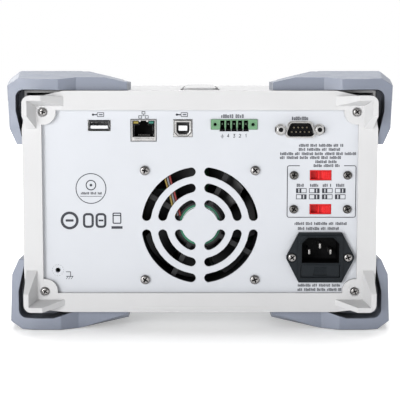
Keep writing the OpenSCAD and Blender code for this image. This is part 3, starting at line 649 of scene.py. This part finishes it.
def print_neutral_marks(p):
    """Marks that carry no meaning: a dial in a ring, a thick ring, two plates, and a box on a bar."""
    x, up = -70.7, 92.8
    p.line(arc((x, up), 9.7, 72), 0.55, *INK, closed=True)
    p.line(arc((x, up + 2.2), 3.1, 40), 0.65, *INK, closed=True)
    p.prism(arc((x, up + 2.2), 0.9, 20), *INK)
    draw_dashes(p, x - 6.6, x + 6.8, up - 3.1, 1.5)
    p.line([(x - 7.0, up - 5.1), (x + 7.0, up - 5.1)], 0.3, *INK)

    row = 71.9
    ring, first_plate, second_plate = (-84.8, row), (-72.6, row), (-64.4, row)
    p.line(arc(ring, 5.0, 56), 1.7, *INK, closed=True)
    p.prism(round_box(ring, 5.2, 1.5, 0.4), *INK)
    for plate in (first_plate, second_plate):
        p.line(round_box(plate, 5.6, 8.2, 1.8), 1.5, *INK, closed=True)
    p.prism(round_box(second_plate, 3.2, 1.2), *INK)

    box = -54.0
    p.line(round_box((box, 73.4), 5.0, 6.6, 0.5), 0.75, *INK, closed=True)
    p.line([(box - 2.6, 75.2), (box + 2.6, 75.2)], 0.7, *INK)
    p.prism(round_box((box, 67.3), 7.2, 1.7), *INK)


def print_rear_panel():
    """All of the rear panel's print, as one piece."""
    p = Piece(on_rear)
    print_port_marks(p)
    print_ground(p)
    print_selectors(p)
    print_rows(p)
    print_neutral_marks(p)
    p.finish("panel_print", ["ink_grey"])


# ---- fasteners

def cross_edge(angle, arm, half):
    """Distance from the middle of a cross recess to its edge, at an angle."""
    c, s = abs(math.cos(angle)), abs(math.sin(angle))
    along_x = min(arm / max(c, 1e-6), half / max(s, 1e-6))
    along_y = min(arm / max(s, 1e-6), half / max(c, 1e-6))
    return max(along_x, along_y)


def pan_screw(piece, centre, out, radius, height, turn):
    """A domed screw head with a cross recess whose walls and floor are painted black as shade, its flange at
    out.
    """
    steps = 96
    arm, half = radius * 0.62, radius * 0.155
    angles = [2 * math.pi * i / steps for i in range(steps)]

    def ring(radii, level):
        return piece.loop([(centre[0] + r * math.cos(a + turn), centre[1] + r * math.sin(a + turn))
                           for r, a in zip(radii, angles)], level)

    dome = [(1.0, 0.0), (1.0, 0.34), (0.97, 0.55), (0.88, 0.78), (0.76, 0.93), (0.66, 1.0)]
    piece.paint = 0
    loops = [ring([radius * r] * steps, out + height * h) for r, h in dome]
    edge = [cross_edge(a, arm, half) for a in angles]
    loops.append(ring(edge, out + height))
    piece.face(loops[0][::-1])
    piece.skin(loops, capped=False)
    # painted shade: the cross recess takes the second, black material
    piece.paint = 1
    floor = ring([e * 0.72 for e in edge], out + height * 0.25)
    piece.skin([loops[-1], floor], capped=False)
    piece.face(floor)


SCREWS = {      # node: its head's radius; the new head's radius, height and level above the panel, mm
    "fan_screws": (3.3, 3.15, 1.9, 0.05, "screw_steel"),
    "frame_screws": (2.7, 2.6, 1.35, 2.0, "screw_steel"),
    "selector_screws": (2.9, 2.85, 1.75, 0.05, "screw_dark"),
    "inlet_screws": (3.2, 2.9, 1.5, 1.75, "screw_steel"),
}


def make_screws():
    """Cross-head screws in place of the plain ones, each turned its own way."""
    for node, (plain_radius, radius, height, out, material) in SCREWS.items():
        low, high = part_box(node)
        head = plain_radius * MM
        ups = [low.z + head, high.z - head] if node != "inlet_screws" else [middle(node).z]
        piece = Piece(on_rear)
        for i, (x, z) in enumerate((x, z) for x in (low.x + head, high.x - head) for z in ups):
            pan_screw(piece, (-x / MM, z / MM), out, radius, height, 0.35 + 1.9 * i)
        # the second material is painted shade in the cross recesses
        piece.finish("cross_" + node, [material, "recess_black"], replaces=[node])


# ---- ports

GAP_SHADOW_LEVELS = (0.31, 0.36)                      # levels of a dark line of painted shadow round a port, for the gap at the panel's opening, above its flange, mm


def d_outline(centre, width, height, radius):
    """The outline of a 9-way connector, narrower at the top."""
    slope = math.tan(math.radians(10)) * height
    corners = ((width / 2, -height / 2), (width / 2 - slope, height / 2),
               (-width / 2 + slope, height / 2), (-width / 2, -height / 2))
    points = []
    for i, corner in enumerate(corners):
        here = Vector(corner)
        back = (Vector(corners[i - 1]) - here).normalized()
        ahead = (Vector(corners[(i + 1) % 4]) - here).normalized()
        start, stop = here + back * radius, here + ahead * radius
        for step in range(6):
            t = step / 5
            points.append(start.lerp(here, t).lerp(here.lerp(stop, t), t) + Vector(centre))
    return points


def make_usb_host():
    """A USB host port: lining, white tongue, springs and contacts, and a dark line of painted shadow for the
    gap round its shell.
    """
    across, up = rear_spot("usb_host_port")
    p = Piece(on_rear)
    p.cup(round_box((across, up), 12.5, 5.1, 0.4), -9.9, 0.1, 0.12)
    p.finish("usb_host_lining", ["socket_grey"])
    p = Piece(on_rear)
    p.pillow(round_box((across, up - 1.05), 11.2, 2.0, 0.2), -9.7, -0.35, 0.2)
    p.finish("usb_host_tongue", ["white_nylon"])
    p = Piece(on_rear)
    for side in SIDES:
        for x in (2.254, 4.802):
            p.pillow(round_box((across + side * x, up + 1.9), 1.5, 0.5, 0.1), -4.0, -0.5, 0.2)
    for x in (-3.5, -1.2, 1.2, 3.5):
        p.pillow(round_box((across + x, up + 0.05), 1.1, 0.25, 0.05), -9.0, -1.2, 0.1)
    p.finish("usb_host_springs", ["shell_metal"])
    p = Piece(on_rear)
    # painted shadow: a dark line for the gap round the shell
    p.line(round_box((across, up), 13.5, 6.0, 0.4), 0.7, *GAP_SHADOW_LEVELS, closed=True)
    p.finish("usb_host_gap_shadow", ["recess_black"])


def make_lan():
    """A network port: stepped mouth, contacts, dark face round the mouth, two lamps and a lower lip."""
    across, up = rear_spot("lan_port")
    half_mouth = [(6.0, -4.2), (6.0, 3.4), (3.0, 3.4), (3.0, 5.5), (1.8, 5.5), (1.8, 6.3)]
    mouth = half_mouth + [(-x, y) for x, y in reversed(half_mouth)]
    p = Piece(on_rear)
    p.cup(shifted((across, up), mouth), -13.8, 0.25, 0.15)
    p.finish("lan_lining", ["recess_black"])
    p = Piece(on_rear)
    contacts, contact_pitch = 8, 1.02
    for i in range(contacts):
        x = across + (i - (contacts - 1) / 2) * contact_pitch
        p.line([(x, up - 3.9), (x, up - 2.9)], 0.42, -11.0, -5.5)
    p.finish("lan_contacts", ["screw_dark"])
    p = Piece(on_rear)
    for side in SIDES:
        p.prism(round_box((across + side * 6.6, up + 1.0), 1.1, 10.6), 0.31, 0.4)
        p.prism(round_box((across + side * 4.55, up + 4.87), 2.98, 2.86), 0.31, 0.4)
    p.finish("lan_face", ["recess_black"])
    p = Piece(on_rear)
    # painted shadow: a dark line round the port's border
    p.line(round_box((across, up), 16.0, 13.7), 0.32, *GAP_SHADOW_LEVELS, closed=True)
    p.finish("lan_edge_shadow", ["socket_grey"])
    for side, name, slot in ((-1, "yellow", "post_brass"), (1, "green", "terminal_green")):
        p = Piece(on_rear)
        p.pillow(round_box((across + side * 4.9, up + 5.1), 3.0, 1.4, 0.2), 0.41, 0.6, 0.1)
        p.finish("lan_lamp_" + name, ["lamp_" + name])
    p = Piece(on_rear)
    p.pillow(round_box((across, up - 5.7), 13.0, 1.4, 0.2), 0.2, 0.75, 0.2)
    p.finish("lan_lip", ["shell_metal"])


def make_usb_device():
    """A USB device port: lining, white tongue, metal collar, and a dark line of painted shadow for the gap
    round it.
    """
    across, up = rear_spot("usb_device_port")
    hole = [(4.15, -2.2), (4.15, 3.85), (-4.15, 3.85), (-4.15, -2.2), (-2.5, -3.85), (2.5, -3.85)]
    p = Piece(on_rear)
    p.cup(shifted((across, up), hole), -8.9, 0.1, 0.12)
    p.finish("usb_device_lining", ["socket_grey"])
    p = Piece(on_rear)
    p.pillow(round_box((across, up), 5.7, 3.3, 0.3), -8.7, -0.35, 0.3)
    p.finish("usb_device_tongue", ["white_nylon"])
    p = Piece(on_rear)
    outer = [(4.9, -2.5), (4.9, 4.6), (-4.9, 4.6), (-4.9, -2.5), (-2.8, -4.6), (2.8, -4.6)]
    p.line(shifted((across, up), outer), 0.55, -0.5, 0.75, closed=True)
    p.finish("usb_device_collar", ["shell_metal"], radius=0.1)
    p = Piece(on_rear)
    # painted shadow: a dark line for the gap round the collar
    p.line(shifted((across, up), outer, grow=(1.1, 1.1)), 0.4, *GAP_SHADOW_LEVELS, closed=True)
    p.finish("usb_device_gap_shadow", ["recess_black"])


def make_io_terminal():
    """The green terminal block: five slots with pins, its two screw holes, and ribs between the poles; slots
    and holes are lined black as painted shade.
    """
    across, up = rear_spot("io_terminal")
    screw = 12.2
    opening = [(1.3, -1.55), (1.3, 2.5), (-1.3, 2.5), (-1.3, -1.55), (-1.65, -3.15), (1.65, -3.15)]
    latch = [(-1.5, -3.3), (-1.85, -4.4), (1.85, -4.4), (1.5, -3.3)]
    poles = [(across + i * POLE, up) for i in range(-2, 3)]
    # painted shade: black linings in the slots and screw holes, and dark flares below the slots
    p = Piece(on_rear)
    for pole in poles:
        p.cup(shifted(pole, opening), -6.9, 1.02, 0.15)
        p.prism(shifted(pole, latch), -1.2, 0.35)
    for side in SIDES:
        p.cup(arc((across + side * screw, up), 1.04, 24), -6.9, 1.04, 0.1)
    p.finish("io_slot_shade", ["recess_black"])
    p = Piece(on_rear)
    for x, _ in poles:
        p.pillow(round_box((x, up + 0.3), 0.8, 0.8, 0.1), -7.0, -0.9, 0.2)
    p.finish("io_pins", ["shell_metal"])
    p = Piece(on_rear)
    for side in SIDES:
        p.line(arc((across + side * screw, up), 1.5, 28), 0.35, 0.95, 1.25, closed=True)
    for x, _ in poles[:-1]:
        p.pillow(round_box((x + POLE / 2, up + 0.2), 0.55, 5.6, 0.1), 0.9, 1.3, 0.15)
    p.finish("io_ribs", ["terminal_green"])


def make_serial():
    """The 9-way port: black insert, pins in two rows, the shell's rim, hexagons on the jackscrews, and black
    discs of painted shade for their bores.
    """
    across, up = rear_spot("serial_port")
    pin_pitch, row_pitch, jack = 2.77, 2.84, 12.5
    p = Piece(on_rear)
    p.pillow(d_outline((across, up), 17.2, 8.6, 1.9), -2.3, 1.2, 0.3)
    p.finish("serial_insert", ["recess_black"])
    p = Piece(on_rear)
    for row, count in ((-0.5, 5), (0.5, 4)):
        for i in range(count):
            spot = (across + (i - (count - 1) / 2) * pin_pitch, up + row * row_pitch)
            p.turned(spot, [(0.56, 1.0), (0.56, 2.9), (0.46, 3.2), (0.2, 3.4)], 16)
    p.finish("serial_pins", ["contact_gold"])
    p = Piece(on_rear)
    p.line(d_outline((across, up), 18.9, 10.2, 2.3), 0.7, -0.2, 0.5, closed=True)
    for side in SIDES:
        p.pillow(arc((across + side * jack, up), 2.85, 6, start=30), 3.3, 3.75, 0.3)
    p.finish("serial_trim", ["shell_metal"])
    p = Piece(on_rear)
    # painted shade: a black disc on each jackscrew's top stands for its dark bore
    for side in SIDES:
        p.turned((across + side * jack, up), [(1.5, 3.76), (1.5, 3.8), (1.1, 3.8)], 24)
    p.finish("serial_jack_bore_shade", ["recess_black"])


def make_inlet():
    """The mains inlet: its lining, rims and blades, and ribs on the fuse drawer."""
    across, up = rear_spot("power_inlet")
    socket, drawer = (across, up + 5.1), (across, up - 8.6)
    w, h, cut = 12.15, 8.35, 4.0
    shape = [(w, -h), (w, h - cut), (w - cut, h), (-w + cut, h), (-w, h - cut), (-w, -h)]
    p = Piece(on_rear)
    p.cup(shifted(socket, shape), -13.9, 4.22, 0.2)
    p.finish("inlet_lining", ["recess_black"])
    p = Piece(on_rear)
    p.line(shifted(socket, shape, grow=(1.035, 1.05)), 0.7, 4.0, 4.75, closed=True)
    p.line(round_box(drawer, 26.4, 9.2, 0.8), 0.5, 4.0, 4.5, closed=True)
    p.finish("inlet_rims", ["inlet_plastic"], radius=0.15)
    p = Piece(on_rear)
    for blade in shifted(socket, [(0, 2.2), (-7, -1.7), (7, -1.7)]):
        p.pillow(round_box(blade, 1.5, 3.6, 0.35), -13.6, 0.2, 0.5)
    p.finish("inlet_blade_tips", ["blade_metal"], replaces=["inlet_blades"])
    p = Piece(on_rear)
    for i in range(5):
        p.pillow(round_box((across, up - 6.6 - i * 0.9), 8.0, 0.42, 0.1), 3.3, 3.65, 0.12)
    p.finish("drawer_grips", ["inlet_plastic"], body="fuse_drawer")


def make_selectors():
    """Three ribs on each red slider."""
    for name in ("upper", "lower"):
        across, up = rear_spot("selector_slider_" + name)
        p = Piece(on_rear)
        for i in range(3):
            p.pillow(round_box((across + 0.6 + i * 1.15, up), 0.5, 4.4, 0.1), -0.5, -0.12, 0.12)
        p.finish("selector_grip_" + name, ["selector_red"], body="selector_slider_" + name)


# ---- fan

FAN_MIDDLE = middle("fan_housing")
Y_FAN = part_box("fan_housing")[1].y          # the housing's rear face, which touches the panel


def in_fan(across, up, out):
    """A point in the fan, in mm from its axis and out from its rear face."""
    return Vector((FAN_MIDDLE.x - across * MM, Y_FAN + out * MM, FAN_MIDDLE.z + up * MM))


def make_fan_label():
    """The round label on the hub, with a ring and a disc printed on it."""
    label = Piece(in_fan)
    label.turned((0, 0), [(13.4, -1.98), (13.4, -1.9), (13.2, -1.86)], 72)
    label.finish("fan_label", ["label_green"])
    label = Piece(in_fan)
    label.line(arc((0, 0), 11.9, 72), 0.35, -1.86, -1.8, closed=True)
    label.turned((0, 0), [(6.0, -1.86), (6.0, -1.8), (5.8, -1.78)], 48)
    label.finish("fan_label_print", ["label_silver"])


def add_blade(rotor, base, front, depth):
    """One twisted, cambered blade: two sheets of points from root to tip, joined round their rim."""
    root, tip, half_thickness = 16.2, 36.9, 0.55
    stations, steps = 9, 9
    sheets = []
    for offset in (half_thickness, -half_thickness):
        grid = []
        for i in range(stations):
            t = i / (stations - 1)
            radius = root + (tip - root) * t
            row = []
            for j in range(steps):
                s = j / (steps - 1)
                angle = base + (s - 0.5) * (0.86 - 0.12 * t) + 0.16 * t * t
                camber = 1.6 * math.sin(math.pi * s)
                level = front - 1.9 - (depth - 4.8) * s * (1 - 0.14 * t) + camber + offset
                point = in_fan(radius * math.cos(angle), radius * math.sin(angle), level)
                row.append(rotor.bm.verts.new(point))
            grid.append(row)
        sheets.append(grid)
        for i in range(stations - 1):
            for j in range(steps - 1):
                rotor.face((grid[i][j], grid[i + 1][j], grid[i + 1][j + 1], grid[i][j + 1]))
    top, bottom = sheets
    rim = [(i, 0) for i in range(stations)] + [(stations - 1, j) for j in range(1, steps)]
    rim += [(i, steps - 1) for i in range(stations - 2, -1, -1)] + [(0, j) for j in range(steps - 2, 0, -1)]
    for (i, j), (m, n) in zip(rim, rim[1:] + rim[:1]):
        rotor.face((top[i][j], top[m][n], bottom[m][n], bottom[i][j]))


def make_impeller():
    """The hub, a cup that is open at the back, its shaft, and seven blades."""
    low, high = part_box("fan_rotor")
    depth = (high.y - low.y) / MM
    back = (low.y - Y_FAN) / MM
    front = -7.2
    blades = 7
    rotor = Piece(in_fan)
    hub = [(14.2, front), (16.3, front), (16.5, front - 0.3), (16.5, back + 1.6), (15.6, back + 0.6),
           (14.0, back + 0.3), (4.0, back + 0.3), (4.0, back + 2.2), (14.2, back + 2.2)]
    rotor.turned((0, 0), hub, 64, closed=True)
    rotor.turned((0, 0), [(4.2, back + 0.3), (4.2, back + 1.0), (1.45, back + 1.0), (1.45, -5.2)], 32)
    for blade in range(blades):
        add_blade(rotor, 2 * math.pi * blade / blades, front, depth)
    rotor.finish("fan_impeller", ["fan_plastic"], body="fan_rotor", replaces=["fan_rotor"])


def make_fan_wires():
    """Three wires from the hub along a strut to the housing's edge and inwards."""
    route = [(14.5, -1.2, 6), (15.6, -1.2, 10), (17, -1, 16), (18.6, -1, 22), (20.4, -1, 28), (22, -1, 34),
             (22.8, -1, 40), (23, -2, 42.6), (23, -5, 44), (23, -12, 44.4), (23, -24, 44.4)]
    gap = 1.7
    curve = bpy.data.curves.new("fan_wires", "CURVE")
    curve.dimensions = "3D"
    curve.bevel_depth = 0.65 * MM
    curve.bevel_resolution = 4
    curve.use_fill_caps = True
    for i, material in enumerate(("wire_jacket", "wire_white", "wire_yellow")):
        curve.materials.append(MATERIALS[material])
        spline = curve.splines.new("NURBS")
        spline.points.add(len(route) - 1)
        for point, (x, y, z) in zip(spline.points, route):
            point.co = (*in_fan(-x - (i - 1) * gap, z, y), 1)
        spline.use_endpoint_u = True
        spline.order_u = 3
        spline.resolution_u = 6
        spline.material_index = i
    wires = show(bpy.data.objects.new("fan_wires", curve))
    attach(wires, CASE)
    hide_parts("fan_lead")


# ---- front

def make_knob():
    """A fluted knob, a ring with a cap set into it, and its white dot."""
    across, up = front_spot("knob")
    p = Piece(on_front)
    ring = [(3.06, 2.4), (15.2, 2.4), (16.0, 2.9), (16.0, 4.7), (15.3, 5.4), (14.1, 5.6, True),
            (14.0, 15.6, True), (13.3, 16.9), (12.2, 17.45), (11.2, 17.2), (10.6, 16.8), (3.06, 16.8)]
    p.turned((across, up), ring, 144, flutes=24, depth=0.75, closed=True)
    p.turned((across, up), [(10.9, 14.6), (10.9, 16.9), (10.2, 17.05)], 72)
    p.finish("fluted_knob", ["knob_plastic"], body="knob", replaces=["knob"])
    p = Piece(on_front)
    p.prism(arc((across, up + 12.4), 0.9, 24), 17.2, 17.5)
    p.finish("knob_dot", ["ink_white"], body="knob")


def make_posts():
    """A fluted screw cap on each binding post."""
    cap = [(3.12, 2.7), (5.2, 2.7), (5.4, 2.9), (5.4, 4.9), (6.0, 5.1), (6.6, 5.7, True), (6.6, 16.2, True),
           (6.2, 17.3), (5.7, 18.0), (5.4, 18.5), (5.3, 19.6), (4.9, 19.95), (3.0, 19.95), (2.62, 19.6),
           (2.62, 15.7), (3.12, 15.7)]
    for i, color in enumerate(("black", "red", "green", "black", "red"), 1):
        node = "post_cap_%d" % i
        p = Piece(on_front)
        p.turned(front_spot(node), cap, 120, flutes=20, depth=0.55, closed=True)
        p.finish("fluted_cap_%d" % i, ["cap_" + color], body=node, replaces=[node])


def draw_sign(piece, centre, plus):
    """A plus or a minus."""
    x, up = centre
    piece.line([(x - 1.5, up), (x + 1.5, up)], 0.55, *INK)
    if plus:
        piece.line([(x, up - 1.5), (x, up + 1.5)], 0.55, *INK)


def draw_power_sign(piece, centre, radius, steps, stroke, bar, levels):
    """The on/off sign: a ring open at the top, and a bar from one height to another above its middle."""
    x, up = centre
    piece.line(arc(centre, radius, steps, 125, 290), stroke, *levels)
    piece.line([(x, up + bar[0]), (x, up + bar[1])], stroke, *levels)


def print_front():
    """Signs above the posts, channel numbers, the on/off sign, the output's line and the knob's scale."""
    p = Piece(on_front)
    posts = [front_spot("post_cap_%d" % i) for i in range(1, 6)]
    for (x, up), sign in zip(posts, ("minus", "plus", "ground", "minus", "plus")):
        if sign == "ground":
            draw_ground_mark(p, x, up + 12.8)
        else:
            draw_sign(p, (x, up + 12.8), sign == "plus")
    for digit, first, last in (("1", 0, 1), ("2", 3, 4)):
        left, right, up = posts[first][0], posts[last][0], posts[0][1] + 17.2
        p.line([(left, up - 1.6), (left, up), (right, up), (right, up - 1.6)], 0.35, *INK)
        draw_digit(p, digit, ((left + right) / 2, up + 2.6), 2.8, 0.45)
    for digit in "12":
        x, up = front_spot("channel_key_" + digit)
        draw_digit(p, digit, (x - 12.6, up), 3.4, 0.5)
    x, up = front_spot("power_button")
    draw_power_sign(p, (x, up + 13.2), 1.8, 20, 0.42, (0, 2.2), INK)
    x, up = front_spot("output_key")
    p.line([(x - 8, up + 8.2), (x + 8, up + 8.2)], 0.35, *INK)
    p.line(arc((x, up + 8.2), 1.5, 24), 0.35, *INK, closed=True)
    knob = Vector(front_spot("knob"))
    for i in range(11):
        a = math.radians(-30 + i * 24)
        way = Vector((math.cos(a), math.sin(a)))
        p.line([knob + way * 18.4, knob + way * (20.4 if i % 5 else 21.2)], 0.4, *INK)
    p.finish("front_print", ["ink_grey"])

    marks = Piece(on_front)
    for i in range(1, 6):
        x, up = front_spot("softkey_%d" % i)
        marks.prism(round_box((x, up + 6.4), 7.0 - (i % 2) * 2.0, 0.7, 0.2), *INK)
    marks.finish("softkey_marks", ["ink_grey"])


def make_keys():
    """A chevron, a small lamp or the on/off sign on each key."""
    keys = [("softkey_%d" % i, "chevron") for i in range(1, 6)]
    keys += [(node, "lamp") for node in ("channel_key_1", "channel_key_2", "output_key")]
    keys += [("power_button", "power")]
    for node, mark in keys:
        low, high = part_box(node)
        x, up = front_spot(node)
        top = (Y_BEZEL - low.y) / MM
        levels = (top - 0.12, top - 0.01)
        p = Piece(on_front)
        if mark == "chevron":
            p.line([(x - 1.3, up - 0.6), (x, up + 0.7), (x + 1.3, up - 0.6)], 0.45, *levels)
        elif mark == "lamp":
            left = x - (high.x - low.x) / MM / 2
            p.pillow(round_box((left + 4.0, up), 2.6, 1.2, 0.4), top - 0.5, top - 0.01, 0.1)
        else:
            draw_power_sign(p, (x, up - 0.2), 2.6, 28, 0.6, (0.6, 3.4), levels)
        paint = "lamp_off" if mark == "lamp" else "ink_white"
        p.finish(node + "_mark", [paint], body=node)


def make_display():
    """A thin border on the display."""
    x, up = front_spot("display_window")
    face = (Y_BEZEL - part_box("display_window")[0].y) / MM
    p = Piece(on_front)
    p.line(round_box((x, up + 1.5), 88, 50, 0.8), 0.35, face - 0.02, face + 0.01, closed=True)
    p.finish("display_border", ["display_line"])


def make_details():
    """Every piece that the CAD doesn't have."""
    print_rear_panel()
    make_screws()
    make_usb_host()
    make_lan()
    make_usb_device()
    make_io_terminal()
    make_serial()
    make_inlet()
    make_selectors()
    make_fan_label()
    make_impeller()
    make_fan_wires()
    make_knob()
    make_posts()
    print_front()
    make_keys()
    make_display()


# ---- stage

def area_light(name, place, side, power):
    """A square light that is aimed at the case."""
    data = bpy.data.lights.new(name, "AREA")
    data.size = side
    data.energy = power
    light = show(bpy.data.objects.new(name, data))
    light.location = place
    light.rotation_euler = (Vector((0, 0.05, 0.08)) - Vector(place)).to_track_quat("-Z", "Y").to_euler()


def floor_painted_glow(name):
    """Pale paper with painted light: it glows faintly next to the case, lightening the shadow there, and
    brightens to white away from the case, like a lit backdrop.
    """
    n = Finish(name)
    n.set("Base Color", n.mix(n.spread(n.noise(3), 0, 1), (0.78, 0.78, 0.78), (0.80, 0.80, 0.80)))
    n.set("Roughness", 0.8)
    n.set("Specular IOR Level", 0.1)
    # painted light: the glow grows with distance from the case, from 0.35 at 0.15 m to 0.85 at 0.6 m
    distance = n.add("ShaderNodeVectorMath", operation="LENGTH")
    n.link(n.place, distance.inputs[0])
    n.set("Emission Color", (1, 1, 1))
    n.set("Emission Strength", n.spread(distance.outputs["Value"], 0.35, 0.85, 0.15, 0.6))


def lay_floor():
    """A plain pale floor, just under the case."""
    reach, level = 6.0, -0.3 * MM
    mesh = bpy.data.meshes.new("floor")
    corners = [(-reach, -reach), (reach, -reach), (reach, reach), (-reach, reach)]
    mesh.from_pydata([(x, y, level) for x, y in corners], [], [(0, 1, 2, 3)])
    floor_painted_glow("floor_painted_glow")
    mesh.materials.append(MATERIALS["floor_painted_glow"])
    show(bpy.data.objects.new("floor", mesh))


def make_surround():
    """A surround that is white at the horizon, and dims overhead and high up behind the case."""
    world = bpy.data.worlds.new("studio")
    world.use_nodes = True
    n = Nodes(world.node_tree)
    parts = n.add("ShaderNodeSeparateXYZ")
    n.link(n.add("ShaderNodeTexCoord").outputs["Generated"], parts.inputs["Vector"])
    y, z = parts.outputs["Y"], parts.outputs["Z"]
    behind = n.combine("MULTIPLY", n.spread(y, 0, 0.5, -0.1, 0.5), n.spread(z, 0, 1, 0.05, 0.25))
    strength = n.combine("MULTIPLY", n.combine("SUBTRACT", 1.0, behind), n.spread(z, 1, 0.25, 0.35, 0.65))
    surround = n.tree.nodes["Background"]
    surround.inputs["Color"].default_value = (1, 1, 1, 1)
    n.link(strength, surround.inputs["Strength"])
    bpy.context.scene.world = world


def build_stage():
    """A pale floor, a white surround and three soft lights."""
    lay_floor()
    make_surround()
    bpy.context.scene.view_settings.view_transform = "Standard"
    area_light("key", (1.25, 2.0, 0.45), 0.9, 38)
    area_light("overhead", (0, -0.6, 1.7), 1.4, 42)
    area_light("front", (1.2, -1.9, 1.2), 1.0, 8)


def add_camera():
    """The camera stands behind the case, a little above it, and looks slightly down."""
    distance = 753.6 * MM
    aim_height = 85.3 * MM
    rise = 81.9 * MM
    data = bpy.data.cameras.new("camera")
    data.sensor_width = 36
    data.lens = 105.1
    camera = show(bpy.data.objects.new("camera", data))
    camera.location = (0, Y_PANEL + distance, aim_height + rise)
    aim = Vector((0, Y_PANEL, aim_height))
    camera.rotation_euler = (aim - camera.location).to_track_quat("-Z", "Y").to_euler()
    bpy.context.scene.camera = camera


add_camera()
build_stage()
make_materials()
dress_cad_nodes()
make_details()
